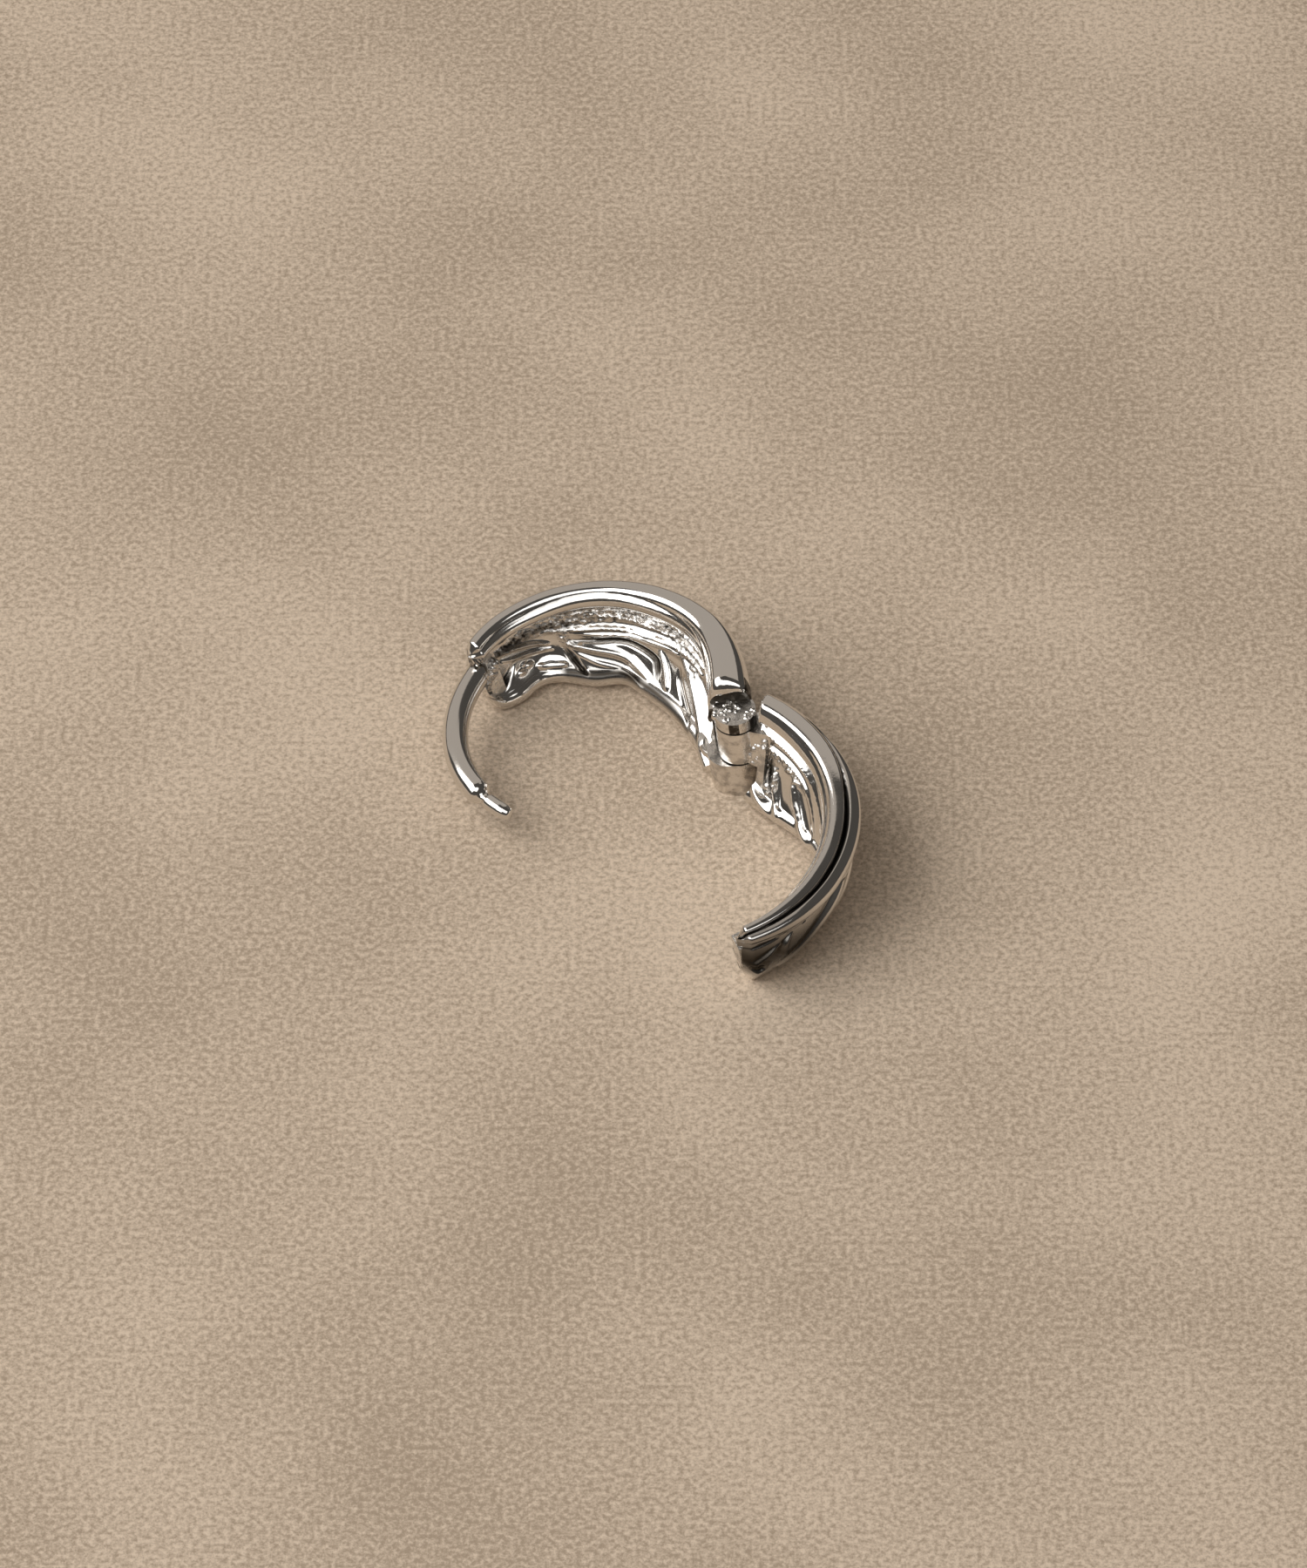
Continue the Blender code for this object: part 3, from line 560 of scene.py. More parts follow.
def value_noise(x, y, cell, seed):
    """Smooth noise from -1 to 1 over a plane, with cells of a given size."""
    table = np.random.default_rng(seed).random((256, 256)) * 2 - 1
    u, v = x / cell, y / cell
    i, j = np.floor(u).astype(int), np.floor(v).astype(int)
    f, g = u - i, v - j
    f, g = f * f * (3 - 2 * f), g * g * (3 - 2 * g)
    low = table[i % 256, j % 256] * (1 - f) + table[(i + 1) % 256, j % 256] * f
    high = table[i % 256, (j + 1) % 256] * (1 - f) + table[(i + 1) % 256, (j + 1) % 256] * f
    return low * (1 - g) + high * g


def blurred(field, rounds):
    """Field smoothed over its neighbours along the half and around it."""
    for _ in range(rounds):
        field = (np.roll(field, 1, axis=1) + 2 * field + np.roll(field, -1, axis=1)) / 4
        padded = np.vstack([field[:1], field, field[-1:]])
        field = (padded[:-2] + 2 * field + padded[2:]) / 4
    return field


def grid_mesh(name, points):
    """Triangle mesh over a ring-by-ring grid that is closed around."""
    rings, around = points.shape[:2]
    i, j = np.meshgrid(np.arange(rings - 1), np.arange(around), indexing='ij')
    k = (j + 1) % around
    corners = np.stack([i * around + j, i * around + k, (i + 1) * around + k, (i + 1) * around + j], axis=-1)
    corners = corners.reshape(-1, 4)
    triangles = np.vstack([corners[:, [0, 1, 2]], corners[:, [0, 2, 3]]])
    faces = triangles.tolist()
    total = rings * around
    faces.append(list(range(around)))
    faces.append(list(range(total - around, total)))
    mesh = bpy.data.meshes.new(name)
    mesh.from_pydata(points.reshape(-1, 3).tolist(), [], faces)
    return mesh


def fine_half(name, rows, strokes, grain, tarnish_and_shade, arc, side, lip_shape, round_start):
    """Shell of one half with its relief, in the hoop's frame, with its cast mask and its mask of hollow patina plus
    painted shade as attributes.
    """
    shares = np.linspace(0, 1, RINGS)
    parts = [fine_outline(rows, share, lip_shape) for share in shares]
    rings, outs, outer, q = (np.array([part[n] for part in parts]) for n in range(4))
    along = np.repeat((shares * arc * HOOP_RADIUS)[:, None], AROUND, axis=1)
    across = q * SIDE_SPAN
    cast = np.clip(both_sides(grain, outer, along, across, arc) / MILLIMETRE, 0, 1)
    rise = blurred(both_sides(strokes, outer, along, across, arc), RISE_BLUR)
    lumps = value_noise(along, across, GRAIN_SIZE, 3) + 0.7 * value_noise(along, across, 0.55 * GRAIN_SIZE, 4)
    rise = rise + cast * GRAIN_RISE * lumps
    rise = rise + RIPPLE_RISE * value_noise(along, across, RIPPLE_SIZE, 5)
    sunk = blurred(rise, PATINA_REACH) - rise
    patina = np.clip((sunk - 0.2 * PATINA_DEPTH) / PATINA_DEPTH, 0, 1)
    # Tarnish strokes add tarnish in grooves and painted shade where the metal faces away from the lights
    patina = np.clip(patina + both_sides(tarnish_and_shade, outer, along, across, arc) / MILLIMETRE, 0, 1)
    left = (1 - shares) * arc * HOOP_RADIUS
    bevel = np.clip(END_BEVEL - left, 0, None)[:, None]
    rise = rise - np.where(outer | (q < 0) | (q > 1), bevel, 0)
    round_end = LOW_CORNER - np.sqrt(np.clip(LOW_CORNER ** 2 - np.clip(LOW_CORNER - left, 0, None) ** 2, 0, None))
    low = np.clip((q - LOW_CORNER_SPAN[0]) / (LOW_CORNER_SPAN[1] - LOW_CORNER_SPAN[0]), 0, 1)
    points = rings + outs * rise[..., None]
    points[..., 1] += low * low * round_end[:, None]
    angles = side * along / HOOP_RADIUS
    points = np.stack([points[..., 0] * np.cos(angles), points[..., 0] * np.sin(angles), points[..., 1]], axis=-1)
    start, near, far = round_start
    radius = near + (far - near) * np.clip((points[..., 0] - PIVOT_TO_CENTRE + 0.5 * RIM_RADIUS) / RIM_RADIUS, 0, 1)
    short = np.clip(radius - (side * points[..., 1] - start), 0, radius)
    drop = radius - np.sqrt(np.clip(radius ** 2 - short ** 2, 0, None))
    points[..., 2] -= drop * np.clip(1 - q / RIM_SPAN, 0, 1)
    mesh = grid_mesh(name, points)
    for label, values in (("cast", cast), ("patina", patina)):
        attribute = mesh.attributes.new(label, 'FLOAT', 'POINT')
        attribute.data.foreach_set("value", values.reshape(-1).astype(np.float32))
    work = bmesh.new()
    work.from_mesh(mesh)
    bmesh.ops.triangulate(work, faces=[f for f in work.faces if len(f.verts) > 4])
    if work.calc_volume(signed=True) < 0:
        bmesh.ops.reverse_faces(work, faces=work.faces)
    return bmesh_object(name, work, mesh)


# Strokes of the relief, in the hollow ("in") and on the show side ("out"). Each is a profile and its points; a
# point's columns are the place along the half and across it from the top rim, both in per cent, and the half width
# and the rise, both in hundredths of a millimetre (negative sinks).
POST_STROKES = {
    "in": (
        ("round", ((0, -2, 40, 6), (25, -2, 48, 14), (45, -1, 52, 24), (75, -1, 52, 28), (92, -1, 46, 24),
            (100, -1, 40, 18))),
        ("shelf", ((86, 20, 10, 10), (76, 18, 20, 34), (62, 15.5, 22, 42), (46, 15, 22, 42), (34, 18, 20, 36),
            (25, 25, 14, 20))),
        ("soft", ((0, 10, 20, -14), (30, 12, 20, -16), (60, 13, 20, -18), (80, 13, 28, -26), (100, 12, 26, -26))),
        ("shelf", ((78, 26, 8, 10), (70, 25, 14, 24), (60, 21, 16, 34), (50, 20, 17, 36), (42, 21, 17, 36),
            (35, 26, 16, 32), (29, 36, 12, 20))),
        ("shelf", ((65, 31, 8, 8), (57, 32, 20, 30), (48, 34, 23, 34), (40, 33, 23, 34), (33, 37, 20, 28),
            (27, 46, 15, 15))),
        ("shelf", ((79, 48, 8, 6), (70, 47, 17, 20), (62, 45.5, 21, 26), (57, 47.5, 21, 26), (50, 48.5, 22, 27),
            (42, 46, 22, 27), (34, 46, 20, 24), (27, 53, 15, 14))),
        ("round", ((71, 53, 5, 6), (62, 56, 8, 13), (55, 57.5, 8, 15), (48, 56, 8, 15), (40, 54, 8, 13),
            (33, 54, 6, 8))),
        ("soft", ((70, 61, 10, -5), (62, 63, 18, -14), (52, 66, 24, -20), (45, 70, 24, -20), (43, 80, 20, -18),
            (42, 88, 12, -10))),
        ("leaf", ((70, 66, 12, 7), (66.5, 67.5, 30, 17), (61.5, 71.5, 33, 16), (56, 77.5, 33, 13),
            (50.5, 84.5, 32, 9), (45.5, 91, 24, 5))),
        ("soft", ((68, 78, 12, 4), (62, 87, 22, 7), (55, 95, 24, 7), (47, 103, 18, 5))),
        ("soft", ((43.5, 60, 12, 8), (42, 68, 28, 13), (40, 79, 32, 13), (38, 90, 24, 10))),
        ("soft", ((36, 66, 6, -5), (34, 78, 14, -16), (29, 90, 14, -16), (21, 100, 10, -10))),
        ("plateau", ((36, 50, 14, 12), (32, 58, 32, 28), (27, 68, 46, 40), (21, 78, 52, 46), (14, 87, 52, 46),
            (7, 95, 46, 42), (0, 102, 36, 34))),
        ("leaf", ((74.2, 87.5, 46, 13), (77.5, 86.5, 48, 13))),
        ("round", ((82.2, 80, 13, 14), (82.8, 80, 13, 14))),
        ("round", ((85, 82, 15, 16), (85.5, 82, 15, 16))),
        ("round", ((83.8, 75, 9, 10), (84.2, 75, 9, 10))),
        ("round", ((93, 33, 6, 10), (90, 40, 11, 20), (86, 46, 13, 24), (80, 56, 13, 22), (76, 63, 8, 12))),
        ("round", ((90, 52, 6, 8), (86, 60, 12, 14), (80, 68, 12, 12), (75, 70, 6, 8))),
        ("soft", ((72, 70, 10, -8), (70, 80, 22, -20), (68, 92, 22, -20), (66, 98, 12, -10))),
        ("soft", ((87, 66, 12, -8), (90, 75, 24, -22), (93, 84, 28, -24), (97, 88, 20, -16))),
        ("round", ((95.5, 8, 12, 12), (96.5, 22, 16, 22), (95.5, 38, 14, 22), (93, 50, 12, 14), (92, 60, 10, 10))),
        ("soft", ((92.5, 12, 10, -15), (93, 28, 12, -22), (92.5, 42, 8, -12))),
        ("vee", ((57.8, 25, 5, -10), (57, 35, 7, -18), (57.5, 42, 5, -10))),
    ),
    "out": (
        ("soft", ((0, 10, 12, -10), (30, 11, 14, -14), (60, 12, 16, -18), (100, 12, 14, -14))),
        ("round", ((0, 22, 30, 10), (15, 26, 42, 16), (35, 36, 46, 20), (55, 52, 42, 20), (72, 70, 34, 18),
            (84, 88, 20, 12))),
        ("round", ((10, 58, 16, 8), (24, 62, 34, 18), (38, 70, 38, 20), (50, 82, 30, 16), (58, 94, 18, 10))),
        ("round", ((42, 12, 14, 6), (56, 18, 34, 16), (70, 32, 40, 20), (84, 48, 34, 18), (96, 66, 22, 12))),
        ("soft", ((5, 44, 10, -6), (20, 46, 16, -14), (38, 54, 18, -18), (55, 69, 16, -16), (68, 86, 12, -10))),
        ("soft", ((40, 20, 8, -6), (55, 33, 16, -16), (70, 50, 18, -18), (84, 68, 14, -14), (94, 84, 10, -8))),
        ("round", ((80, 20, 10, 8), (88, 26, 22, 16), (96, 38, 20, 14))),
    ),
}
CATCH_STROKES = {
    "in": (
        ("round", ((0, -5, 40, 6), (20, -5, 42, 10), (50, -4, 44, 14), (80, -3, 44, 16), (100, -2, 40, 12))),
        ("soft", ((0, 3, 11, -14), (20, 3, 11, -16), (40, 4, 12, -16), (70, 8, 14, -16), (100, 10, 14, -14))),
        ("shelf", ((5, 16, 20, 20), (12, 17, 34, 44), (18, 20, 34, 46), (24, 27, 28, 40), (29, 38, 22, 25),
            (33, 52, 18, 18), (38, 70, 16, 13), (42, 90, 12, 6))),
        ("shelf", ((6, 40, 12, 10), (12, 42, 20, 20), (20, 45, 21, 21), (26, 53, 19, 18), (30, 66, 17, 12),
            (33.5, 80, 15, 8), (37, 93, 12, 5))),
        ("leaf", ((21, 56, 12, 10), (23.2, 68, 34, 27), (26.2, 80, 40, 25), (30, 91, 40, 20), (34.5, 101, 34, 12),
            (38, 107, 22, 6))),
        ("leaf", ((13, 62, 10, 8), (14.5, 72, 26, 19), (15.5, 82, 30, 18), (17.5, 92, 26, 12), (20, 102, 18, 7))),
        ("leaf", ((3, 74, 12, 8), (5.5, 84, 28, 16), (9, 94, 32, 14), (14, 102, 26, 9), (19, 108, 18, 5))),
        ("soft", ((10, 50, 12, -10), (10.5, 62, 18, -18), (11, 74, 17, -18), (11.5, 84, 10, -8))),
        ("round", ((44, 10, 10, 8), (50, 22, 22, 20), (56, 42, 26, 26), (62, 64, 24, 24), (70, 86, 16, 16))),
        ("round", ((58, 12, 10, 8), (65, 24, 20, 18), (73, 42, 24, 22), (82, 60, 22, 20), (92, 78, 14, 12))),
        ("round", ((46, 60, 8, 10), (50, 74, 20, 24), (56, 88, 18, 20))),
        ("soft", ((48, 10, 8, -6), (56, 24, 14, -16), (64, 46, 16, -18), (74, 70, 14, -14), (82, 88, 8, -8))),
        ("round", ((80, 16, 8, 8), (86, 26, 18, 16), (93, 40, 14, 12))),
    ),
    "out": (
        ("soft", ((10, -5, 4, -4), (26, -8, 7, -10), (38, -12, 12, -18), (48, -15.5, 22, -30), (60, -15, 24, -32),
            (75, -13, 20, -28), (88, -11, 18, -24), (100, -9, 16, -20))),
        ("round", ((30, -3, 12, 6), (45, -1, 36, 16), (60, 0, 38, 18), (75, 0, 36, 18), (90, 0, 30, 16),
            (100, 0, 26, 14))),
        ("vee", ((100, 13, 8, -12), (93, 12, 8, -12), (87, 10, 6, -8), (82, 8, 4, -4))),
        ("round", ((62, 8, 12, 10), (66, 15, 26, 24), (71, 26, 34, 30), (77, 38, 36, 28), (84, 52, 32, 22),
            (90, 64, 20, 10))),
        ("soft", ((72, 7, 8, -12), (76, 10, 16, -24), (80, 12, 14, -20), (83, 14, 6, -8))),
        ("soft", ((90, 20, 10, 8), (93, 26, 16, 20), (95.5, 31, 17, 24), (98.5, 38, 17, 24), (98.5, 48, 17, 24),
            (96, 54, 17, 24), (94, 48, 15, 20), (95, 41, 10, 10))),
        ("soft", ((86, 15, 10, 10), (88.5, 22, 20, 22), (89.5, 34, 22, 24), (88.5, 46, 16, 16))),
        ("round", ((0, 30, 30, 10), (14, 34, 40, 16), (30, 42, 44, 20), (46, 58, 40, 20), (60, 78, 30, 16),
            (70, 94, 18, 10))),
        ("round", ((6, 72, 16, 8), (20, 74, 30, 16), (34, 82, 30, 16), (44, 94, 18, 10))),
        ("soft", ((5, 54, 10, -6), (20, 57, 16, -14), (36, 66, 16, -16), (50, 82, 12, -12))),
        ("soft", ((25, 20, 8, -6), (42, 28, 16, -16), (56, 42, 18, -18), (70, 62, 16, -16), (82, 80, 10, -10))),
    ),
}
# Where the metal is darkened: tarnish in grooves, and painted shade where the metal faces away from the lights, under
# the post half's rim toward its free end, along its lower lip and over the catch half's outer face near its free end.
# Strokes whose last column is the strength in per cent.
POST_TARNISH_AND_SHADE = {
    "in": (
        ("soft", ((66, 10, 20, 20), (78, 11, 40, 70), (90, 12, 44, 90), (100, 12, 40, 90))),
        ("soft", ((94, 25, 50, 60), (93, 55, 55, 70), (91, 80, 50, 80))),
        ("soft", ((90, 42, 50, 50), (80, 42, 60, 50), (70, 44, 50, 40))),
        ("soft", ((86, 62, 45, 35), (78, 68, 45, 35))),
        ("soft", ((70, 86, 28, 90), (67, 94, 28, 90))),
        ("soft", ((20, 104, 30, 60), (36, 100, 44, 100), (50, 99, 50, 100), (72, 99, 50, 100))),
        ("soft", ((62, 63, 20, 50), (52, 66, 26, 70), (45, 74, 26, 70), (43, 88, 18, 50))),
    ),
}
CATCH_TARNISH_AND_SHADE = {
    "in": (
        ("soft", ((10, 46, 30, 60), (12, 65, 36, 60), (13, 85, 30, 60))),
    ),
    "out": (
        ("soft", ((100, 32, 360, 100), (93, 34, 340, 100), (86, 38, 300, 90), (78, 46, 220, 45), (70, 52, 140, 15))),
        ("soft", ((100, -9, 24, 90), (75, -13, 26, 90), (48, -15.5, 26, 90), (38, -13, 12, 50))),
        ("soft", ((75, 9, 24, 70), (80, 12, 24, 70))),
    ),
}
# Where the casting was left rough: strokes whose last column is the strength in per cent.
POST_GRAIN = {
    "in": (
        ("soft", ((88, 22, 50, 100), (72, 19, 50, 100), (50, 17, 50, 100), (34, 22, 40, 80))),
        ("soft", ((93, 40, 30, 80), (80, 38, 75, 100), (70, 38, 80, 100), (60, 34, 70, 80), (45, 32, 70, 70),
            (34, 40, 80, 100), (30, 58, 60, 90))),
        ("soft", ((72, 50, 50, 80), (70, 66, 40, 70))),
        ("soft", ((20, 20, 60, 80), (12, 40, 60, 80))),
    ),
}
CATCH_GRAIN = {
    "in": (
        ("soft", ((10, 46, 40, 90), (12, 65, 60, 100), (13, 85, 50, 100))),
        ("soft", ((12, 50, 30, 90), (20, 55, 35, 90), (26, 62, 20, 60))),
        ("soft", ((12, 22, 35, 50), (20, 30, 30, 60), (26, 38, 25, 40))),
        ("soft", ((60, 50, 70, 60), (80, 50, 60, 60))),
    ),
    "out": (
        ("soft", ((75, 9, 20, 100), (79, 12, 22, 100), (82, 13, 12, 60))),
    ),
}


def paint_shade_faces(item, turn):
    """Painted shade: near-black metal on the rim's cut end and on the sides of the hinge's gaps, where shade falls.
    """
    swing = turn.to_3x3()
    for face in item.data.polygons:
        if cut_end(face) or in_gap(turn @ face.center, swing @ face.normal):
            face.material_index = 1


def finish_piece(item, turn, materials, body, node, slot):
    """Move a piece from the hoop's frame to the table, dress it and tie it to its body."""
    press_flat(item, turn)
    item.data.materials.clear()
    for material in materials:
        item.data.materials.append(material)
    if len(materials) > 1:
        paint_shade_faces(item, turn)
    item.data.transform(HOOP @ turn)
    item.data.shade_smooth()
    item.data.set_sharp_from_angle(angle=SMOOTH_ANGLE)
    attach(item, body)
    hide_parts(node)


def cut_end(face):
    """Whether a face is one of the flat cuts across the rim beside the hinge."""
    near = abs(face.center.y) < CATCH_RIM_SETBACK + SIDE_GAP
    return near and abs(face.normal.y) > 0.98 and face.center.x > 0 and face.center.z > 0


def in_gap(place, normal):
    """Whether a wall beside the pin faces a gap, away from the open front of the hinge."""
    reach = math.hypot(place.x - PIVOT_TO_CENTRE, place.y)
    front = normal.x * GAP_FRONT[0] + normal.y * GAP_FRONT[1]
    if normal.x > 0.15 and place.z < EAR_LEVELS[0]:
        return False
    level = abs(normal.z) < 0.6 and place.z > GAP_FLOOR
    return reach < KNUCKLE_RADIUS + 3 * SIDE_GAP and level and front < 0.35


# Metal: scale, detail and roughness of its cloud, streak, grain and lumps; its tones; what adds to its roughness
METAL_NOISES = ((900, 3), (9000, 4, 0.6), (5200, 5, 0.62), (2300, 3, 0.5))
CLOUD_RANGE = (0.3, 0.7)
SILVER_TONE = (0.79, 0.765, 0.73, 1)
# Dark tone of tarnish in hollows, also used as painted shade in the hinge's gaps, on the rim's cut end and on shaded
# strokes
TARNISH_AND_SHADE_TONE = (0.045, 0.038, 0.030, 1)
POLISH = (0.07, 0.14)
CAST_ROUGHNESS = 0.16
TARNISH_ROUGHNESS = 0.20
BUMP_DEPTH = 0.00006
FELT_TONES = ((0.42, 0.325, 0.235, 1), (0.74, 0.60, 0.46, 1))


def new_material(name):
    """Material with its node tree, its shader and the object coordinates."""
    material = bpy.data.materials.new(name)
    material.use_nodes = True
    tree = material.node_tree
    return material, tree, tree.nodes["Principled BSDF"], tree.nodes.new("ShaderNodeTexCoord").outputs["Object"]


def noise_node(tree, vector, scale, detail, roughness=0.5):
    texture = tree.nodes.new("ShaderNodeTexNoise")
    texture.inputs["Scale"].default_value = scale
    texture.inputs["Detail"].default_value = detail
    texture.inputs["Roughness"].default_value = roughness
    tree.links.new(vector, texture.inputs["Vector"])
    return texture.outputs["Fac"]


def ramp_node(tree, value, low, high, out_low, out_high):
    node = tree.nodes.new("ShaderNodeMapRange")
    node.inputs["From Min"].default_value = low
    node.inputs["From Max"].default_value = high
    node.inputs["To Min"].default_value = out_low
    node.inputs["To Max"].default_value = out_high
    tree.links.new(value, node.inputs["Value"])
    return node.outputs["Result"]


def math_node(tree, operation, first, second):
    node = tree.nodes.new("ShaderNodeMath")
    node.operation = operation
    for socket, value in zip(node.inputs, (first, second)):
        if isinstance(value, (int, float)):
            socket.default_value = value
        else:
            tree.links.new(value, socket)
    return node.outputs["Value"]


def attribute_value(tree, name):
    node = tree.nodes.new("ShaderNodeAttribute")
    node.attribute_name = name
    return node.outputs["Fac"]


def mixed_colour(tree, factor, first, second):
    node = tree.nodes.new("ShaderNodeMix")
    node.data_type = 'RGBA'
    node.inputs["A"].default_value = first
    node.inputs["B"].default_value = second
    tree.links.new(factor, node.inputs["Factor"])
    return node.outputs["Result"]


def add_bump(tree, shader, height, strength):
    bump = tree.nodes.new("ShaderNodeBump")
    bump.inputs["Strength"].default_value = strength
    bump.inputs["Distance"].default_value = BUMP_DEPTH
    tree.links.new(height, bump.inputs["Height"])
    tree.links.new(bump.outputs["Normal"], shader.inputs["Normal"])


def silver(name, rough_cast=None, dark=None):
    """Plated metal, polished where the cast mask is 0, grainy where it is 1, darkened where the mask of patina and
    painted shade is 1.
    """
    material, tree, shader, where = new_material(name)
    shader.inputs["Metallic"].default_value = 1.0
    cloud, streak, grain, lumps = (noise_node(tree, where, *noise) for noise in METAL_NOISES)
    if rough_cast is None:
        mask = attribute_value(tree, "cast")
        specks = math_node(tree, 'MULTIPLY', mask, ramp_node(tree, grain, 0.50, 0.62, 0.0, 0.7))
        sunk = math_node(tree, 'ADD', attribute_value(tree, "patina"), specks)
    else:
        mask = ramp_node(tree, cloud, *CLOUD_RANGE, 0.8 * rough_cast, rough_cast)
        # Dark specks of tarnish over the lumps; the near-black finish sets them so high that its whole surface is
        # painted shade
        sunk = ramp_node(tree, lumps, 0.40, 0.62, dark - 0.3, dark + 0.3)
    sunk = ramp_node(tree, sunk, 0.0, 1.0, 0.0, 1.0)
    tree.links.new(mixed_colour(tree, sunk, SILVER_TONE, TARNISH_AND_SHADE_TONE), shader.inputs["Base Color"])
    rough = ramp_node(tree, cloud, *CLOUD_RANGE, *POLISH)
    rough = math_node(tree, 'ADD', rough, math_node(tree, 'MULTIPLY', mask, CAST_ROUGHNESS))
    rough = math_node(tree, 'ADD', rough, math_node(tree, 'MULTIPLY', sunk, TARNISH_ROUGHNESS))
    tree.links.new(rough, shader.inputs["Roughness"])
    height = math_node(tree, 'MULTIPLY', math_node(tree, 'ADD', grain, lumps), mask)
    height = math_node(tree, 'ADD', height, math_node(tree, 'MULTIPLY', streak, 0.04))
    add_bump(tree, shader, height, 0.8)
    return material


def felt():
    """Pale tan cloth, speckled, with a faint broad cloud."""
    material, tree, shader, where = new_material("pale tan felt")
    speckle = noise_node(tree, where, 4200, 4, 0.7)
    broad = math_node(tree, 'MULTIPLY', noise_node(tree, where, 60, 2), 0.25)
    mixed = math_node(tree, 'ADD', math_node(tree, 'MULTIPLY', speckle, 0.75), broad)
    tone = mixed_colour(tree, ramp_node(tree, mixed, 0.41, 0.59, 0.0, 1.0), *FELT_TONES)
    tree.links.new(tone, shader.inputs["Base Color"])
    shader.inputs["Roughness"].default_value = 0.9
    add_bump(tree, shader, speckle, 0.5)
    return material


def post_piece():
    """Ear post with its rounded shoulder, groove and thin tip."""
    root = POST_HALF_ARC - 0.8 * END_WALL / HOOP_RADIUS
    tip_end = POST_HALF_ARC + POST_ARC
    tip_start = tip_end - POST_TIP_ARC
    groove = 0.25 * POST_TIP_ARC
    keys = []
    for start, step, radius, rows in ((root, POST_RADIUS / HOOP_RADIUS, POST_RADIUS * POST_SCALE, POST_ROOT_KEYS),
                                      (tip_start, groove, POST_RADIUS * POST_SCALE, POST_NECK_KEYS),
                                      (tip_start, groove, POST_GROOVE_RADIUS * POST_SCALE, POST_GROOVE_KEYS),
                                      (tip_start, groove, POST_TIP_RADIUS * TIP_SCALE, POST_TIP_KEYS),
                                      (tip_end, groove, POST_TIP_RADIUS * TIP_SCALE, POST_END_KEYS)):
        keys += [(start + steps * step, share * radius) for steps, share in rows]
    angles, radii = np.array(keys).T
    neck = len(POST_ROOT_KEYS)
    fine = np.concatenate([np.linspace(angles[0], angles[neck - 1], 10)[:-1],
                           np.linspace(angles[neck - 1], angles[neck], 70)[:-1],
                           np.linspace(angles[neck], angles[-1], 60)])
    return tube("ear_post", [post_point(a) for a in fine], np.interp(fine, angles, radii))


def post_hinge():
    """Upper ear, foot and the block behind them."""
    body = joining_block("hinge_ears", 1, HINGE_BLOCK, WALL - FOOT_DEPTH, EAR_TOP - 0.3 * EAR_THICKNESS)
    combine(body, 'DIFFERENCE', swing_relief(1, POST_SIDE_SLANT))
    combine(body, 'UNION', rounded_foot("foot", KNUCKLE_RADIUS, *FOOT_LEVELS))
    combine(body, 'UNION', upright_cylinder("ear", KNUCKLE_RADIUS, *EAR_LEVELS))
    combine(body, 'DIFFERENCE', hinge_pocket())
    return body


def hinge_pocket():
    """Room of the barrel in the post half."""
    low, high = BARREL_LEVELS
    return upright_cylinder("pocket", KNUCKLE_RADIUS + SIDE_GAP, low - SIDE_GAP, high + SIDE_GAP)


def pin_hole():
    return upright_cylinder("pin hole", PIN_RADIUS + RUNNING_GAP, WALL - FOOT_DEPTH, EAR_TOP + SIDE_GAP)


def catch_hinge():
    """Barrel and the web that joins it to the catch half, less the web's corner on the show side."""
    body = upright_cylinder("hinge_barrel", KNUCKLE_RADIUS, *BARREL_LEVELS)
    combine(body, 'UNION', joining_block("web", -1, BARREL_WEB, *BARREL_LEVELS))
    far = -(KNUCKLE_RADIUS + END_WALL) - SIDE_GAP
    right = PIVOT_TO_CENTRE + WEB_CORNER[0] * KNUCKLE_RADIUS
    corner = [(right, -WEB_CORNER[1] * KNUCKLE_RADIUS), (right, far), (right - WEB_CORNER[2] * KNUCKLE_RADIUS, far)]
    combine(body, 'DIFFERENCE', prism("web corner", corner, 2 * BARREL_LEVELS[0], 2 * BARREL_LEVELS[1]))
    combine(body, 'DIFFERENCE', pin_hole())
    return body


def hinge_wall(name, rows, arc, side):
    """Wall that closes the hollow at the hinge end."""
    clear = (KNUCKLE_RADIUS + END_WALL) / (HOOP_RADIUS * arc)
    wall = end_wall(rows, arc, side, 0.01, clear, 0.2 * RIM_RADIUS)
    wall.name = name
    return wall


def scatter(name, seed, count, sizes, chosen, source, lowest=-FOOT_DEPTH):
    """Small raised beads of rough casting over chosen faces of a piece, none below a height in the hoop's frame."""
    draw = np.random.default_rng(seed)
    faces = [face for face in source.data.polygons if chosen(face)]
    weights = np.array([face.area for face in faces])
    work = bmesh.new()
    for pick in draw.choice(len(faces), size=count, p=weights / weights.sum()):
        corners = [source.data.vertices[v].co for v in faces[pick].vertices]
        k = int(draw.integers(1, len(corners) - 1))
        u, v = draw.random(2).tolist()
        u, v = (u, v) if u + v < 1 else (1 - u, 1 - v)
        place = corners[0] + u * (corners[k] - corners[0]) + v * (corners[k + 1] - corners[0])
        size = sizes[0] + (sizes[1] - sizes[0]) * float(draw.random())
        if place.z < lowest:
            continue
        squash = Matrix.Diagonal(Vector(draw.uniform(0.7, 1.3, 3).tolist()).to_4d())
        bmesh.ops.create_icosphere(work, subdivisions=2, radius=size,
                                   matrix=Matrix.Translation(place - 0.6 * size * faces[pick].normal) @ squash)
    return bmesh_object(name, work)


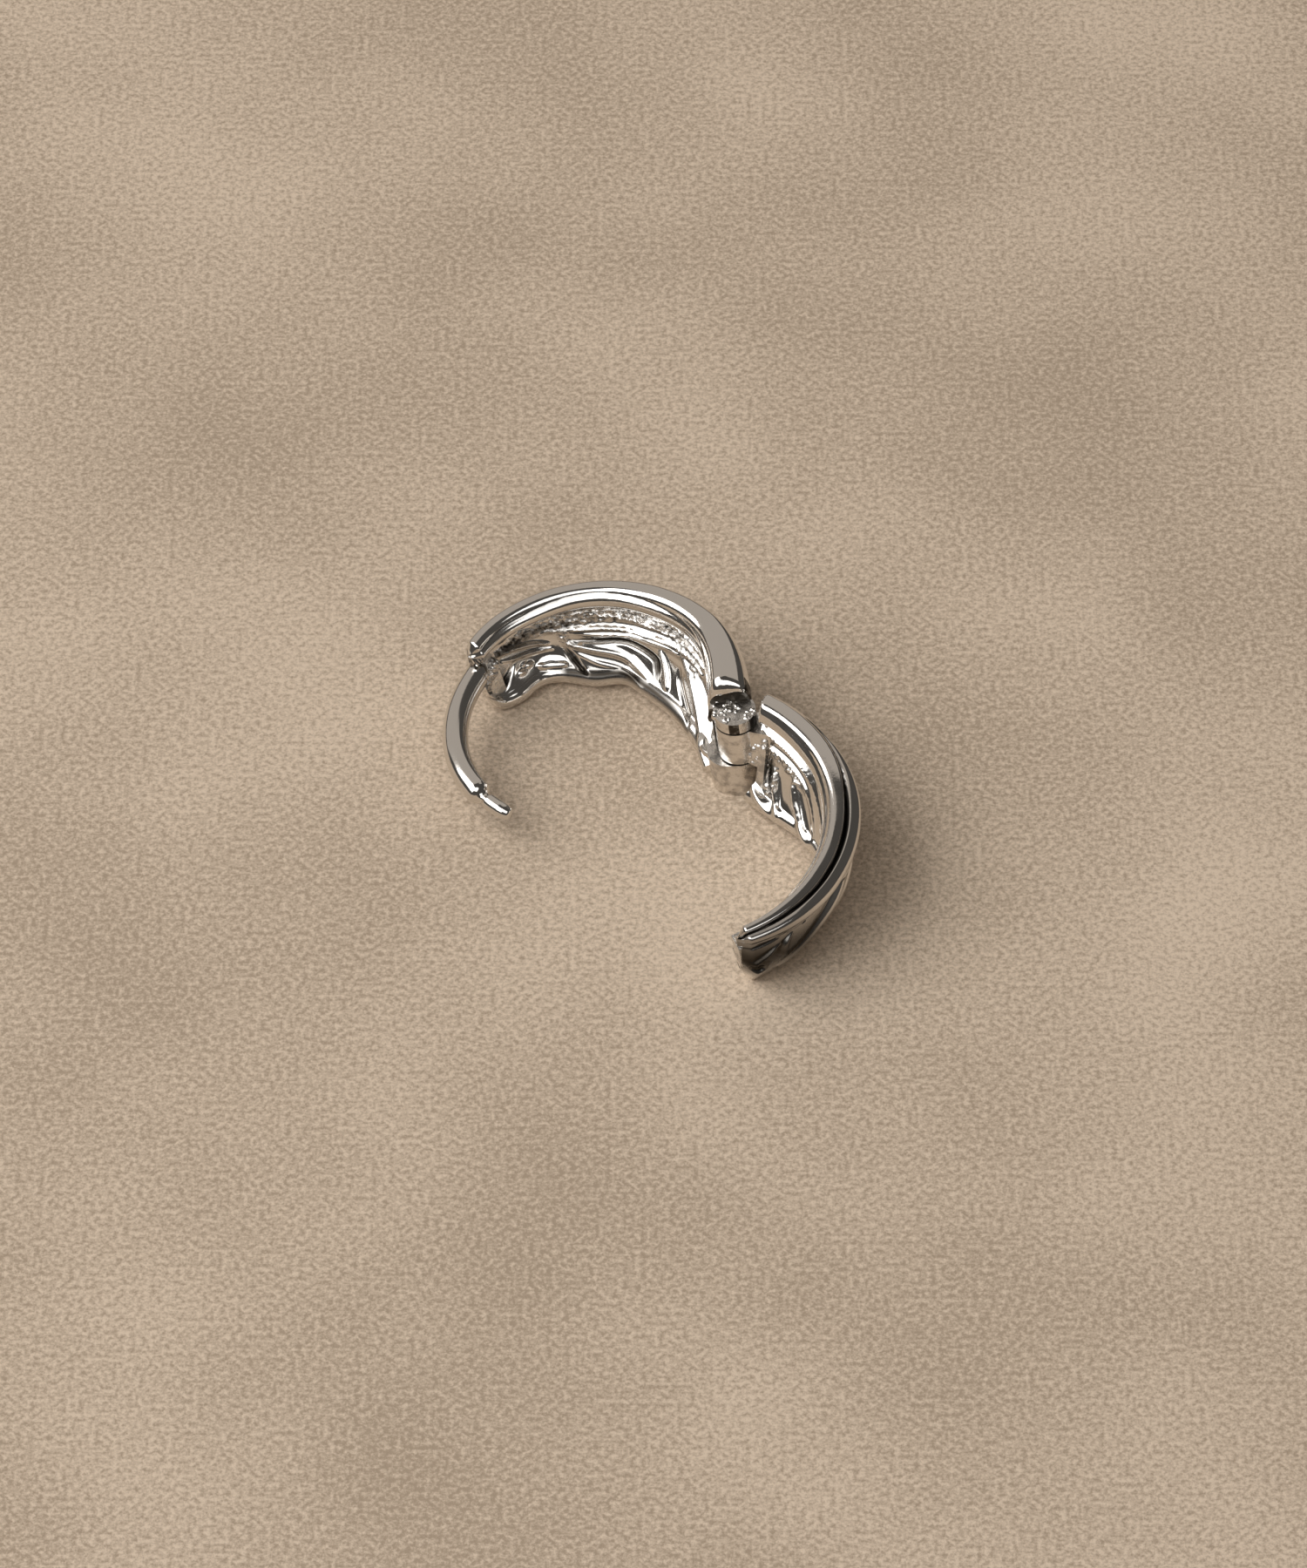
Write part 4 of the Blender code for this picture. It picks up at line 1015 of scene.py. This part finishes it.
def beads(name, rows):
    """Run of solder drops; a row holds the drop's centre in the hoop's frame and its radius, all in mm."""
    work = bmesh.new()
    for x, y, z, radius in smooth_path(rows, 5 * len(rows)) * MILLIMETRE:
        bmesh.ops.create_icosphere(work, subdivisions=2, radius=radius, matrix=Matrix.Translation((x, y, z)))
    return bmesh_object(name, work)


def end_plate(rows, arc, side):
    """Plate across the free end, a bevel's depth in from it."""
    last = 1 - END_PLATE_INSET / (HOOP_RADIUS * arc)
    return end_wall(rows, arc, side, last - END_WALL / (HOOP_RADIUS * arc), last, 0.1 * RIM_RADIUS)


def cut(item, *tools):
    """Take tools out of an item, one after the other."""
    for tool in tools:
        combine(item, 'DIFFERENCE', tool)
    return item


def make_post_half(polished, rough, satin, painted_shade):
    still = Matrix.Identity(4)
    post = ("post_body", "post_half", "silver_tone")
    band = fine_half("post_half_band", POST_HALF_SECTIONS, POST_STROKES, POST_GRAIN, POST_TARNISH_AND_SHADE, POST_HALF_ARC, 1,
                     POST_LIP_SHAPE, POST_RIM_START)
    cut(band, swing_relief(1, POST_SIDE_SLANT), rim_setback(1, POST_RIM_SETBACK, EAR_TOP), hinge_pocket(), pin_hole())
    finish_piece(band, still, (polished, painted_shade), *post)
    wall = hinge_wall("post_half_wall", POST_HALF_SECTIONS, POST_HALF_ARC, 1)
    cut(wall, swing_relief(1, POST_SIDE_SLANT), hinge_pocket(), pin_hole())
    finish_piece(wall, still, (rough,), *post)
    plate = end_plate(POST_HALF_SECTIONS, POST_HALF_ARC, 1)
    plate.name = "post_half_end"
    finish_piece(plate, still, (rough,), *post)
    finish_piece(post_piece(), still, (polished,), *post)
    ears, strip = post_hinge(), solder_strip()
    top = scatter("ear_grain", 3, 60, (0.00009, 0.00017),
                  lambda face: face.normal.z > 0.9 and face.center.z > BARREL_LEVELS[1], ears)
    specks = scatter("solder_grain", 5, 90, (0.00009, 0.00018), lambda face: True, strip)
    finish_piece(top, still, (satin,), *post)
    finish_piece(specks, still, (rough,), *post)
    finish_piece(ears, still, (satin, painted_shade), *post)
    finish_piece(strip, still, (rough,), *post)
    finish_piece(beads("foot_solder", FOOT_SOLDER), still, (polished,), *post)


def catch_cutters():
    """Room round the hinge for the catch half's shell and wall."""
    return (swing_relief(-1, OPEN_ANGLE - POST_SIDE_SLANT + SLANT_PLAY),
            rim_setback(-1, CATCH_RIM_SETBACK, BARREL_LEVELS[1]),
            rounded_foot("foot room", KNUCKLE_RADIUS + 2 * SIDE_GAP, 2 * FOOT_LEVELS[0], BARREL_LEVELS[0]))


def make_catch_half(polished, rough, satin, painted_shade):
    opened = opening_turn()
    catch = ("catch_body", "catch_half", "silver_tone")
    band = fine_half("catch_half_band", CATCH_HALF_SECTIONS, CATCH_STROKES, CATCH_GRAIN, CATCH_TARNISH_AND_SHADE,
                     CATCH_HALF_ARC, -1, CATCH_LIP_SHAPE, CATCH_RIM_START)
    finish_piece(cut(band, *catch_cutters()), opened, (polished, painted_shade), *catch)
    wall = hinge_wall("catch_half_wall", CATCH_HALF_SECTIONS, CATCH_HALF_ARC, -1)
    cut(wall, *catch_cutters())
    grain = scatter("catch_half_grain", 11, 170, (0.00010, 0.00020), lambda face: abs(face.normal.z) < 0.5, wall,
                    FOOT_LEVELS[1] + SIDE_GAP)
    finish_piece(grain, opened, (rough,), *catch)
    finish_piece(wall, opened, (rough, painted_shade), *catch)
    plate = end_plate(CATCH_HALF_SECTIONS, CATCH_HALF_ARC, -1)
    combine(plate, 'UNION', catch_lug())
    combine(plate, 'DIFFERENCE', catch_notch())
    plate.name = "catch_half_end"
    finish_piece(plate, opened, (rough,), *catch)
    finish_piece(catch_hinge(), opened, (satin, painted_shade), *catch)


def make_earring():
    # The last finish is painted shade: near-black metal for the rim's cut end and the walls of the hinge's gaps
    finishes = (silver("polished silver tone"), silver("rough cast silver tone", 0.9, 0.10),
                silver("satin silver tone", 0.5, 0.06), silver("blackened silver tone", 0.6, 1.15))
    make_post_half(*finishes)
    make_catch_half(*finishes)
    pin = frame["nodes"]["hinge_pin"]
    pin.data.materials.clear()
    pin.data.materials.append(silver("pin metal", 0.4, 0.25))


def make_floor():
    """Plain floor far past the picture's edge."""
    bpy.ops.mesh.primitive_plane_add(size=3.0)
    floor = bpy.context.object
    floor.name = "floor"
    floor.data.materials.append(felt())


ROOM_TONE = (1.0, 0.92, 0.84, 1)
ROOM_STRENGTH = 0.07
# Softboxes: azimuth and elevation in degrees, distance and size in metres, radiance and colour.
SOFT_BOXES = (
    ("left key", 192, 44, 0.70, (0.80, 0.50), 2.8, (1.0, 0.985, 0.97)),
    ("front top", 246, 56, 0.70, (0.85, 0.46), 1.6, (1.0, 0.985, 0.97)),
    ("back", 112, 36, 0.80, (1.40, 0.85), 0.36, (1.0, 0.90, 0.80)),
)


def area_light(name, place, size, energy, colour):
    """Softbox that faces the earring."""
    data = bpy.data.lights.new(name, 'AREA')
    data.shape = 'RECTANGLE'
    data.size, data.size_y = size
    data.energy = energy
    data.color = colour
    lamp = bpy.data.objects.new(name, data)
    bpy.context.scene.collection.objects.link(lamp)
    lamp.location = place
    lamp.rotation_euler = (-Vector(place)).to_track_quat('-Z', 'Y').to_euler()


def make_lights():
    bpy.context.scene.view_settings.view_transform = 'Standard'
    world = bpy.data.worlds.new("studio")
    bpy.context.scene.world = world
    world.use_nodes = True
    background = world.node_tree.nodes["Background"]
    background.inputs["Color"].default_value = ROOM_TONE
    background.inputs["Strength"].default_value = ROOM_STRENGTH
    for name, azimuth, elevation, distance, size, radiance, colour in SOFT_BOXES:
        a, e = math.radians(azimuth), math.radians(elevation)
        place = (distance * math.cos(e) * math.cos(a), distance * math.cos(e) * math.sin(a), distance * math.sin(e))
        area_light(name, place, size, radiance * math.pi * size[0] * size[1], colour)


# Photograph: its size, and its focal length and the hoop's centre in pixels
IMAGE_WIDTH = 1500
IMAGE_HEIGHT = 1800
CAMERA_ELEVATION = math.radians(45.54)
CAMERA_DISTANCE = 0.350
CAMERA_FOCAL = 9450
SENSOR_HEIGHT = 36.0
HOOP_PIXEL = (674.14, 852.21)


def make_camera(target):
    """Camera at the photograph's angle; the shift puts the hoop's centre where the photograph has it."""
    data = bpy.data.cameras.new("camera")
    data.sensor_fit = 'VERTICAL'
    data.sensor_height = SENSOR_HEIGHT
    data.lens = SENSOR_HEIGHT * CAMERA_FOCAL / IMAGE_HEIGHT
    data.shift_x = (IMAGE_WIDTH / 2 - HOOP_PIXEL[0]) / IMAGE_HEIGHT
    data.shift_y = (HOOP_PIXEL[1] - IMAGE_HEIGHT / 2) / IMAGE_HEIGHT
    data.clip_start = 0.01
    camera = bpy.data.objects.new("camera", data)
    bpy.context.scene.collection.objects.link(camera)
    away = Vector((0, -math.cos(CAMERA_ELEVATION), math.sin(CAMERA_ELEVATION)))
    camera.location = target + away * CAMERA_DISTANCE
    camera.rotation_euler = (math.pi / 2 - CAMERA_ELEVATION, 0, 0)
    bpy.context.scene.camera = camera


HOOP = hoop_turn()
make_earring()
make_floor()
make_lights()
make_camera(HOOP.translation.copy())
